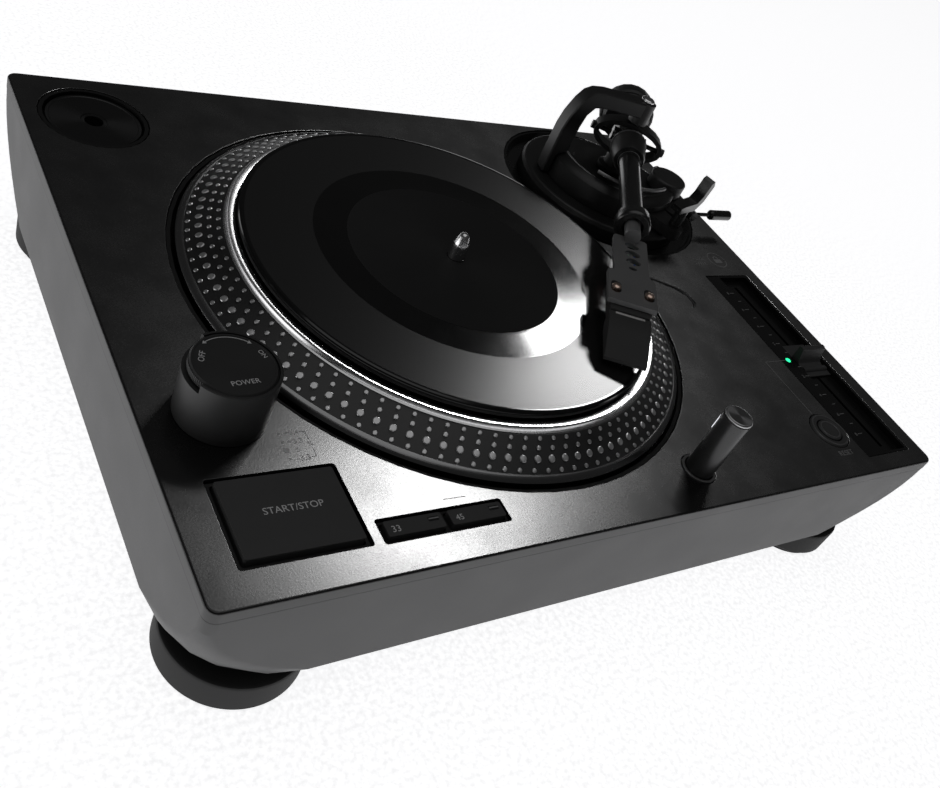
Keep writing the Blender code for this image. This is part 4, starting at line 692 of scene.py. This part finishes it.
@dataclass
class Platter:
    """The platter: strobe band with four rows of dots, polished rim and lip, mat and record.

    Each row of dots is given by its radius, its count and the size of a dot.
    """

    radius: float = 0.1077
    band: float = 0.0920
    grooves: Pair = (0.0590, 0.0852)
    pin: float = 0.0036
    rows: tuple = ((0.10365, 112, 0.00088), (0.10005, 106, 0.00140), (0.09655, 103, 0.00090),
                   (0.09350, 100, 0.00082))
    sides: int = 12

    def build(self) -> None:
        """Builds the platter, what lies on it, and what turns with it."""
        z = DECK_TOP
        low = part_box("platter")[0].z
        casting = [(0.012, low), (self.radius - 0.004, low), (self.radius - 0.0025, z - 0.001),
                   (0.1052, z + 0.0019), (self.band + 0.0006, z + 0.0086), (self.band, z + 0.0087),
                   (self.band - 0.0003, z + 0.0080), (0.012, z + 0.0080)]
        link(spun("platter_casting", casting + casting[:1], SPINDLE_AXIS, 256), Look.BAND,
             "platter", "black_metal", 20.0, "platter")
        rim = raised([(0.1050, 0.0017), (0.1053, 0.0024), (0.1060, 0.0023), (0.1072, 0.0013),
                      (self.radius, 0.0005), (self.radius, -0.0040), (0.1062, -0.0044),
                      (0.1040, -0.0040), (0.1050, 0.0017)], z)
        link(spun("platter_rim", rim, SPINDLE_AXIS, 256), Look.RIM, "platter", "silver")
        lip = raised([(0.0874, 0.0078), (0.0876, 0.0104), (0.0880, 0.0107), (0.0898, 0.0110),
                      (0.0905, 0.0109), (0.0910, 0.0103), (0.0913, 0.0092), (0.0919, 0.0089),
                      (0.0919, 0.0078), (0.0874, 0.0078)], z)
        link(spun("platter_lip", lip, SPINDLE_AXIS, 256), Look.LIP, "platter", "silver", 40.0)
        link(self.dots(), Look.DOT, "platter", "silver", 25.0)
        mat = raised([(0.0036, 0.0112), (0.0868, 0.0112), (0.0871, 0.0118), (0.0868, 0.0125),
                      (0.0036, 0.0125), (0.0036, 0.0112)], z)
        link(spun("slip_mat_felt", mat, SPINDLE_AXIS, 160), Look.FELT, "platter", "rubber",
             node="slip_mat")
        self.record()
        dressed({"rotor_magnet": Look.IRON})

    def record(self) -> None:
        """The pressed record, its paper label, and the polished spindle through both."""
        z = DECK_TOP
        disc = raised([(0.0037, 0.0129), (0.0866, 0.0129), (0.0872, 0.0132), (0.0873, 0.0136),
                       (0.0870, 0.0141), (0.0862, 0.0143), (0.0852, 0.01415), (0.0590, 0.01415),
                       (0.0585, 0.0140), (0.0466, 0.0140), (0.0460, 0.0142), (0.0037, 0.0142),
                       (0.0037, 0.0129)], z)
        mesh = spun("record_vinyl", disc, SPINDLE_AXIS, 256)
        mesh.materials.append(Look.VINYL.material())
        mesh.materials.append(Look.WAX.material())
        for face in mesh.polygons:
            away = (face.center.xy - Vector(SPINDLE_AXIS)).length
            grooved = self.grooves[0] < away < self.grooves[1] and face.normal.z > 0.5
            face.material_index = 0 if grooved else 1
        link(mesh, Look.VINYL, "platter", "vinyl", 20.0, "record")
        top = z + 0.01432
        label = [(0.0039, z + 0.0141), (0.0039, top), (0.0154, top), (0.0158, top - 0.00008),
                 (0.0164, top - 0.00008), (0.0168, top), (0.0450, top), (0.0454, top - 0.00005),
                 (0.0454, z + 0.0141), (0.0039, z + 0.0141)]
        link(spun("record_label", label, SPINDLE_AXIS, 160), Look.LABEL, "platter", "dark_plastic",
             20.0)
        low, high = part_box("spindle")
        pin = [(0, low.z), (self.pin, low.z)]
        pin += raised([(self.pin, -0.0058), (0.0033, -0.0045), (0.0022, -0.0014), (0.0013, -0.0003),
                       (0.0006, 0), (0, 0)], high.z)
        link(spun("spindle_pin", pin, SPINDLE_AXIS, 48), Look.SILVER, "platter", "silver", 50.0,
             "spindle")

    def dots(self) -> Mesh:
        """Four rings of low round pads on the sloping band.

        A pad's profile is carried round its own axis, the axis is leaned out to the band's
        slope, and the pad is copied round the platter at even angles.
        """
        slope = math.atan2(0.0067, 0.0126)
        profile = np.array([(0, -0.00015), (1, -0.00015), (1, 0.0002), (0.8, 0.00042),
                            (0, 0.00050)])
        rings, sides = len(profile), self.sides
        turn = np.arange(sides) * TAU / sides
        points, faces, first = [], [], 0
        for radius, count, size in self.rows:
            r = profile[:, :1] * size
            height = np.repeat(profile[:, 1:], sides, 1)
            pad = np.stack([r * np.cos(turn), r * np.sin(turn), height], -1)
            x = pad[..., 0] * math.cos(slope) + pad[..., 2] * math.sin(slope) + radius
            z = (-pad[..., 0] * math.sin(slope) + pad[..., 2] * math.cos(slope)
                 + DECK_TOP + 0.0019 + (0.1052 - radius) * math.tan(slope))
            angle = np.arange(count)[:, None, None] * TAU / count
            cloud = np.stack([SPINDLE_AXIS[0] + x * np.cos(angle) - pad[..., 1] * np.sin(angle),
                              SPINDLE_AXIS[1] + x * np.sin(angle) + pad[..., 1] * np.cos(angle),
                              np.broadcast_to(z, (count, *z.shape))], -1).reshape(-1, 3)
            row, column = np.meshgrid(np.arange(rings - 1), np.arange(sides), indexing="ij")
            beside, near, far = (column + 1) % sides, row * sides, (row + 1) * sides
            quad = np.stack([near + column, near + beside, far + beside, far + column], -1)
            starts = first + np.arange(count)[:, None, None] * rings * sides
            quads = quad.reshape(1, -1, 4) + starts
            points.append(cloud)
            faces.append(quads.reshape(-1, 4))
            first += len(cloud)
        mesh = bpy.data.meshes.new("strobe_dots")
        mesh.from_pydata(np.concatenate(points).tolist(), [], np.concatenate(faces).tolist())
        tidy(mesh)
        return mesh


@dataclass
class PowerSwitch:
    """The strobe tower: a round wall with a thumb window, and the printed power cap in it."""

    radius: float = 0.0150
    bore: float = 0.0139
    window: Pair = (113.0, 211.0)
    ease: float = 0.0003
    sweep: float = 0.0117

    def build(self) -> None:
        """Builds the tower, the cap, its prints and the lens."""
        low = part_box("strobe_housing")[0].z
        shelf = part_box("strobe_housing")[1].z - 0.0003
        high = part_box("power_knob")[1].z
        link(self.tower(low, shelf, high - 0.0003), Look.KNOB, "base", "dark_plastic", 30.0,
             "strobe_housing")
        r = self.bore - 0.0004
        cap = [(0, shelf + 0.0003), (r - 0.0004, shelf + 0.0003), (r, shelf + 0.0007),
               (r, high - 0.0006), (r - 0.0005, high - 0.0001), (r - 0.0011, high - 0.0001),
               (r - 0.0012, high - 0.00025), (0, high - 0.00025)]
        link(spun("power_cap", cap, KNOB_AXIS, 160), Look.KNOB, "power_knob", "dark_plastic",
             30.0, "power_knob")
        inner, outer = r - 0.0003, r + 0.0002
        grip = [(inner, shelf + 0.0009), (outer, shelf + 0.0009), (outer, high - 0.0007),
                (inner, high - 0.0007), (inner, shelf + 0.0009)]
        link(spun("power_cap_grip", grip, KNOB_AXIS, 220), Look.GRIP, "power_knob", "dark_plastic")
        self.prints(high - 0.00025)
        carried("strobe_lens", Look.LENS, "white")

    def tower(self, low: float, shelf: float, high: float) -> Mesh:
        """The wall as rings of points whose top drops to the shelf inside the window.

        Columns stand at even angles, with a pair on each side of the window's two edges.
        """
        base = np.linspace(0, 360, 145)[:-1]
        a, b = self.window
        angle = np.sort(np.concatenate([base, [a - 0.01, a + 0.01, b - 0.01, b + 0.01]]))
        inside = (angle > a) & (angle < b)
        top = np.where(inside, shelf, high)
        rad = np.radians(angle)
        ease = np.where(inside, 0.0, self.ease)
        rings = [(0, low), (self.radius, low), (self.radius, top - ease),
                 (self.radius - self.ease, top), (self.bore, top), (self.bore, shelf - 0.0002),
                 (0, shelf - 0.0002)]
        x, y = (np.stack([KNOB_AXIS[k] + r * way(rad) for r, _ in rings])
                for k, way in enumerate((np.cos, np.sin)))
        z = np.stack([np.broadcast_to(height, rad.shape) for _, height in rings])
        return woven("strobe_tower", np.stack([x, y, z], -1))

    def prints(self, z: float) -> None:
        """OFF, ON and POWER round the cap, and the two-headed arrow over them."""
        def spot(radius: float, degrees: float) -> Pair:
            """A point on the cap by radius and direction."""
            a = math.radians(degrees)
            return (KNOB_AXIS[0] + radius * math.cos(a), KNOB_AXIS[1] + radius * math.sin(a))

        marks = [letters("OFF", spot(0.0098, 156), 0.0046, z, 156 - 90),
                 letters("ON", spot(0.0108, 19), 0.0034, z, 19 - 90),
                 letters("POWER", spot(0.0079, -84), 0.0092, z, 4)]
        marks.append(bar("sweep", arc(KNOB_AXIS, self.sweep, 122, 50, 28), 0.00028, z - INK_LOW,
                         z + INK_HIGH))
        for start, lean in ((127, -1), (45, 1)):
            tip, back = spot(self.sweep, start), start + lean * 6
            wedge = [tip, spot(self.sweep + 0.0008, back), spot(self.sweep - 0.0008, back)]
            corners = np.array([[(*p, h) for p in wedge] for h in (z - INK_LOW, z + INK_HIGH)])
            marks.append(woven("arrow", corners, ends=True))
        link(joined("power_print", marks), Look.INK, "power_knob", "white")


@dataclass
class Keys:
    """START/STOP and the two speed keys in their sunken frames."""

    start_words: float = 0.0194
    speed_words: float = 0.0029
    inset: float = 0.0034
    window: Pair = (0.0018, 0.0015)

    def build(self) -> None:
        """Builds keys, frames, words and the lamps' slots."""
        for node in ("start_stop_frame", "speed_button_frame"):
            carried(node, Look.HOLLOW, "dark_plastic", 0.00025)
        carried("start_stop_button", Look.KEY, "grey_plastic", 0.0006)
        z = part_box("start_stop_button")[1].z
        words = letters("START/STOP", (-0.1383, -0.1030), self.start_words, z)
        link(words, Look.INK, "start_stop_button", "white").name = "start_stop_words"
        for speed in ("33", "45"):
            node = f"speed_button_{speed}"
            carried(node, Look.KEY, "grey_plastic", 0.0003)
            low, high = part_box(node)
            middle = (low.y + high.y) / 2
            words = letters(speed, (low.x + self.inset, middle - 0.0004), self.speed_words, high.z)
            link(words, Look.INK, node, "white").name = f"speed_{speed}_words"
            x, y, z = high.x - self.inset, middle + 0.0008, high.z
            half, width = self.window
            path = np.array([(x - half, y), (x + half, y)])
            window = bar("window", path, width, z - 0.0001, z + 0.00022)
            link(window, Look.HOLLOW, node, "dark_plastic").name = f"speed_{speed}_window"
            strip = bar("strip", path, 0.0004, z - 0.0001, z + 0.00034)
            link(strip, Look.FAINT, node, "white").name = f"speed_{speed}_strip"


@dataclass
class PitchFader:
    """The pitch fader's panel with its scale, the moving cap, the lamp, and the reset button."""

    middle: float = -0.0616
    first: float = 0.0050
    pitch: float = 0.00625
    inner: float = 0.1419
    long: float = 0.0030
    short: float = 0.0022
    line: float = 0.0003
    digits: float = 0.1374
    digit_width: float = 0.0011

    def build(self) -> None:
        """Builds panel, cap, scale, lamp and reset button."""
        carried("fader_panel", Look.DECK, "black_paint", 0.0002)
        carried("fader_cap", Look.KEY, "grey_plastic", 0.0003)
        dressed({"fader_track": Look.HOLLOW})
        carried("pitch_lamp", Look.GREEN, "green")
        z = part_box("fader_panel")[1].z
        ticks = []
        for side in (-1, 1):
            for index in range(8):
                major = index % 2 == 1
                y = self.middle + side * (self.first + self.pitch * index)
                start = self.inner - (self.long if major else self.short)
                ticks.append(bar("tick", np.array([(start, y), (self.inner, y)]), self.line,
                                 z - INK_LOW, z + INK_HIGH))
                if major:
                    ticks.append(letters(str(index + 1), (self.digits, y), self.digit_width, z))
        link(joined("pitch_scale", ticks), Look.FAINT, "base", "white")
        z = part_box("reset_ring")[1].z
        carried("reset_ring", Look.KEY, "dark_plastic", 0.0002)
        carried("reset_button", Look.KEY, "dark_plastic", 0.0003)
        for name, body, radius in (("reset_ring_line", "base", 0.0088), ("reset_button_line",
                                   "reset_button", 0.0047)):
            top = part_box("reset_ring" if body == "base" else "reset_button")[1].z
            ring = [(radius - 0.0004, top - 0.0002), (radius + 0.0004, top - 0.0002),
                    (radius + 0.0003, top + 0.00012), (radius - 0.0003, top + 0.00012),
                    (radius - 0.0004, top - 0.0002)]
            link(spun(name, ring, RESET_AXIS, 64), Look.SATIN, body, "satin")


@dataclass
class TargetLamp:
    """The pop-up lamp: a dark barrel with a turned bright top and a window towards the record."""

    radius: float = 0.0057
    facing: float = 118.0
    window: float = 0.0012

    def build(self) -> None:
        """Builds barrel, top, window and sleeve."""
        low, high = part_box("target_lamp")
        r, top = self.radius, high.z
        barrel = [(0, low.z), (r, low.z), (r, top - 0.0016), (r - 0.0003, top - 0.0013),
                  (0, top - 0.0013)]
        link(spun("lamp_barrel", barrel, LAMP_AXIS, 72), Look.LAMP, "target_lamp",
             "black_metal", node="target_lamp")
        cap = raised([(0, -0.0013), (r - 0.0002, -0.0013), (r - 0.0001, -0.0011), (r, -0.0006),
                      (r - 0.0004, -0.00008), (r - 0.0008, 0), (0.0006, 0), (0, -0.0001)], top)
        link(spun("lamp_cap", cap, LAMP_AXIS, 72), Look.LAMP_TOP, "target_lamp", "silver", 50.0)
        carried("target_lamp_sleeve", Look.SATIN, "silver", 0.0002)
        a = math.radians(self.facing)
        out = np.array([math.cos(a), math.sin(a)])
        middle = np.array(LAMP_AXIS) + out * (r - 0.0005)
        across = np.array([-out[1], out[0]]) * self.window
        window = bar("lamp_window", np.array([middle - across, middle + across]), self.window,
                     top - 0.0105, top - 0.0050)
        link(window, Look.LENS, "target_lamp", "white")


@dataclass
class Adapter:
    """The single adapter in its round recess, its top finely turned."""

    radius: float = 0.0189
    bore: float = 0.0037

    def build(self) -> None:
        """Builds the adapter and dresses its cup."""
        low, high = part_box("single_adapter")
        r, z = self.radius, high.z
        bore = self.bore
        body = [(bore, low.z), (r - 0.001, low.z), (r, low.z + 0.001)]
        body += raised([(r, -0.0008), (r - 0.0005, 0), (r - 0.0016, 0), (r - 0.0019, -0.0002),
                        (0.0052, -0.0002), (0.0049, -0.0006), (bore, -0.0006)], z) + body[:1]
        link(spun("adapter_top", body, ADAPTER_AXIS, 144), Look.ADAPTER, "single_adapter",
             "black_metal", 30.0, "single_adapter")
        carried("adapter_cup", Look.HOLLOW, "black_paint")


@dataclass
class ArmBase:
    """The tonearm's dish, height ring, base, arch, rest and controls."""

    def build(self) -> None:
        """Shows each solid with eased edges and its own finish."""
        table = {
            "arm_base_dish": (Look.DECK, "black_metal", 0.0),
            "height_ring": (Look.ARM, "black_metal", 0.0003),
            "arm_base": (Look.ARM, "black_metal", 0.0003),
            "arm_arch": (Look.ARM, "black_metal", 0.0005),
            "pivot_bolt": (Look.SILVER, "silver", 0.0002),
            "cue_barrel": (Look.GLOSS, "black_metal", 0.0002),
            "arm_rest": (Look.GLOSS, "dark_plastic", 0.0003),
            "anti_skating_dial": (Look.IRON, "black_metal", 0.0003),
            "cue_lever": (Look.GLOSS, "dark_plastic", 0.0),
            "lift_bow": (Look.SATIN, "rubber", 0.0),
        }
        for node, (look, slot, edge) in table.items():
            carried(node, look, slot, edge)


@dataclass
class Tonearm:
    """The yoke, tube, collar, weight, headshell and cartridge.

    The bell's profile and the bright rings are given by distance ahead of the pivot and radius.
    """

    bell: tuple = ((0.0095, 0.0), (0.0095, 0.0086), (0.0110, 0.0090), (0.0240, 0.0080),
                   (0.0262, 0.0074), (0.0264, 0.0))
    rings: tuple = ((0.0268, 0.0053), (0.0848, 0.0060), (0.0100, 0.0090))
    ring_width: float = 0.0005
    clip: float = 0.1556
    clip_half: float = 0.0062
    lead_start: float = 0.1030
    lead_length: float = 0.0290
    lead_pitch: float = 0.0032
    lead_radius: float = 0.00055

    def build(self) -> None:
        """Shows each solid with eased edges, and adds the coloured wires under the headshell."""
        table = {
            "arm_yoke": (Look.ARM, "black_metal", 0.0003),
            "arm_tube": (Look.GLOSS, "black_metal", 0.0),
            "headshell_collar": (Look.GLOSS, "black_metal", 0.0002),
            "headshell": (Look.SHELL, "satin", 0.0003),
            "finger_lift": (Look.GLOSS, "black_metal", 0.0),
            "cartridge_screw_left": (Look.GOLD, "silver", 0.0),
            "cartridge_screw_right": (Look.GOLD, "silver", 0.0),
            "cartridge": (Look.DARK, "dark_plastic", 0.0003),
            "stylus": (Look.DARK, "white", 0.0002),
            "counterweight": (Look.ARM, "black_metal", 0.0),
            "stylus_force_ring": (Look.ARM, "black_metal", 0.0002),
        }
        for node, (look, slot, edge) in table.items():
            carried(node, look, slot, edge)
        link(on_arm(lathe("arm_bell", list(self.bell))), Look.ARM, "tonearm", "black_metal")
        rings = [self.ring(at, radius) for at, radius in self.rings]
        link(on_arm(joined("arm_rings", rings)), Look.SATIN, "tonearm", "silver")
        self.wires()
        across = np.array([(self.clip, -self.clip_half), (self.clip, self.clip_half)])
        clip = bar("stylus_clip", across, 0.0014, -0.0105, -0.0062)
        link(on_arm(clip, SHELL_ROLL), Look.WHITE, "tonearm", "white")

    def ring(self, at: float, radius: float) -> Mesh:
        """A thin bright ring round the tube."""
        inner, outer, end = radius - 0.0006, radius + 0.0003, at + self.ring_width
        return lathe("ring", [(at, inner), (at, outer), (end, outer), (end, inner), (at, inner)])

    def wires(self) -> None:
        """Three coloured leads that sag from the plug to the cartridge under the shell's holes."""
        for index, look in enumerate((Look.WIRE_RED, Look.WIRE_GREEN, Look.WIRE_BLUE)):
            along = np.linspace(0.0, 1.0, 16)
            path = np.stack([self.lead_start + self.lead_length * along,
                             (index - 1) * self.lead_pitch + 0.0006 * np.sin(along * 6.0),
                             -0.0066 - 0.0016 * np.sin(along * math.pi)], -1)
            lead = tube(f"lead_{look.value.name}", path, self.lead_radius)
            link(on_arm(lead, SHELL_ROLL), look, "tonearm", "dark_plastic")


@dataclass
class Underside:
    """The feet, the sockets at the back, and what is inside."""

    neck: float = 0.0190
    drum: float = 0.015
    pad: float = 0.0020

    def build(self) -> None:
        """Dresses feet, sockets, drive and boards."""
        for side in ("front_left", "back_left", "front_right", "back_right"):
            self.foot(f"foot_{side}")
        carried("line_jacks", Look.DARK, "dark_plastic")
        carried("power_socket", Look.DARK, "dark_plastic")
        carried("motor_pan", Look.HOLLOW, "black_iron")
        dressed({"spindle_bearing": Look.SATIN, "motor_stator": Look.COPPER,
                 "control_board": Look.BOARD, "power_supply": Look.IRON})


    def foot(self, node: str) -> None:
        """A turned foot with a neck, a rounded drum and a rubber pad."""
        low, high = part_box(node)
        middle = ((low.x + high.x) / 2, (low.y + high.y) / 2)
        r = (high.x - low.x) / 2
        pad = r - self.pad
        profile = raised([(0, 0), (pad, 0), (pad, self.pad), (r - 0.0008, self.pad), (r, 0.0028)],
                         low.z)
        profile += raised([(r, -0.0012), (r - 0.0004, -0.0004), (r - 0.0012, 0), (self.neck, 0)],
                          low.z + self.drum)
        profile += [(self.neck, high.z), (0, high.z)]
        link(spun(node + "_turned", profile, middle, 160), Look.RUBBER, "base", "rubber", node=node)


@dataclass
class Studio:
    """The plain floor, the soft lights and the camera."""

    aim: Triple = (0.0, -0.02, 0.06)
    eye: Triple = (-0.26047, -0.25806, 0.28595)
    lens: float = 37.5627
    floor: float = 4.0
    surroundings: float = 0.03

    def build(self) -> None:
        """Sets floor, surroundings, lights and camera."""
        edges = (-self.floor, self.floor)
        corners = np.array([[(x, y, 0.0) for x in edges] for y in edges])
        floor = bpy.data.objects.new("floor", woven("floor", corners, around=False))
        bpy.context.scene.collection.objects.link(floor)
        floor.data.materials.append(Glow("floor_paper", grey(0.80), 0.01, 0.9, 0.02, 0.02, 0.00001,
                                         specular=0.1, power=1.1).material())
        world = bpy.data.worlds.new("surroundings")
        bpy.context.scene.world = world
        world.use_nodes = True
        back = world.node_tree.nodes["Background"]
        back.inputs[0].default_value = (1.0, 1.0, 1.0, 1.0)
        back.inputs[1].default_value = self.surroundings
        self.panel("sweep_light", 42, 46, 1.30, (0.30, 0.14), 9.0, (-0.07, -0.10, 0.067),
                   only=("deck", "platter_rim", "platter_lip", "platter_casting"))
        self.panel("fan_light", 33, 34, 1.60, (0.34, 0.16), 5.0,
                   only=("record_vinyl", "platter_lip", "platter_rim", "strobe_dots"))
        self.panel("top_light", 200, 86, 2.20, (2.4, 2.4), 8.0)
        self.panel("left_light", 176, 3, 1.60, (1.4, 0.4), 3.0)
        bpy.context.scene.view_settings.view_transform = "Standard"
        self.camera()

    def panel(self, name: str, azimuth: float, height: float, away: float, size: tuple,
              power: float, aim: tuple | None = None, only: tuple[str, ...] = ()) -> None:
        """Adds a soft panel light that faces the object.

        Args:
            name: the light's name.
            azimuth: direction from the object, in degrees from +X.
            height: degrees above the floor.
            away: distance in metres.
            size: width and height in metres.
            power: in watts.
            aim: the point that it faces.
            only: the pieces that it lights, or none for everything.
        """
        data = bpy.data.lights.new(name, "AREA")
        data.shape = "RECTANGLE"
        data.size, data.size_y = size
        data.energy = power
        light = bpy.data.objects.new(name, data)
        bpy.context.scene.collection.objects.link(light)
        a, e = math.radians(azimuth), math.radians(height)
        way = Vector((math.cos(a) * math.cos(e), math.sin(a) * math.cos(e), math.sin(e)))
        target = Vector(aim or self.aim)
        light.matrix_world = (Matrix.Translation(target + way * away)
                              @ way.to_track_quat("Z", "Y").to_matrix().to_4x4())
        if only:
            lit = bpy.data.collections.new(name + "_lit")
            for piece in only:
                lit.objects.link(bpy.data.objects[piece])
            light.light_linking.receiver_collection = lit

    def camera(self) -> None:
        """Sets the camera from the front left, above the deck."""
        data = bpy.data.cameras.new("camera")
        data.sensor_width = 36.0
        data.lens = self.lens
        data.clip_start = 0.01
        camera = bpy.data.objects.new("camera", data)
        bpy.context.scene.collection.objects.link(camera)
        turn = Quaternion((0.8846815, 0.3506225, -0.2682720, -0.1497751))
        camera.matrix_world = Matrix.Translation(self.eye) @ turn.to_matrix().to_4x4()
        bpy.context.scene.camera = camera


def main() -> None:
    """Builds the object's parts in order, then the studio."""
    logging.basicConfig(level=logging.INFO, format="%(message)s")
    for part in (Deck(), Platter(), PowerSwitch(), Keys(), PitchFader(), TargetLamp(), Adapter(),
                 ArmBase(), Tonearm(), Underside(), Studio()):
        LOG.info("== %s", type(part).__name__)
        part.build()


if __name__ == "__main__":
    main()
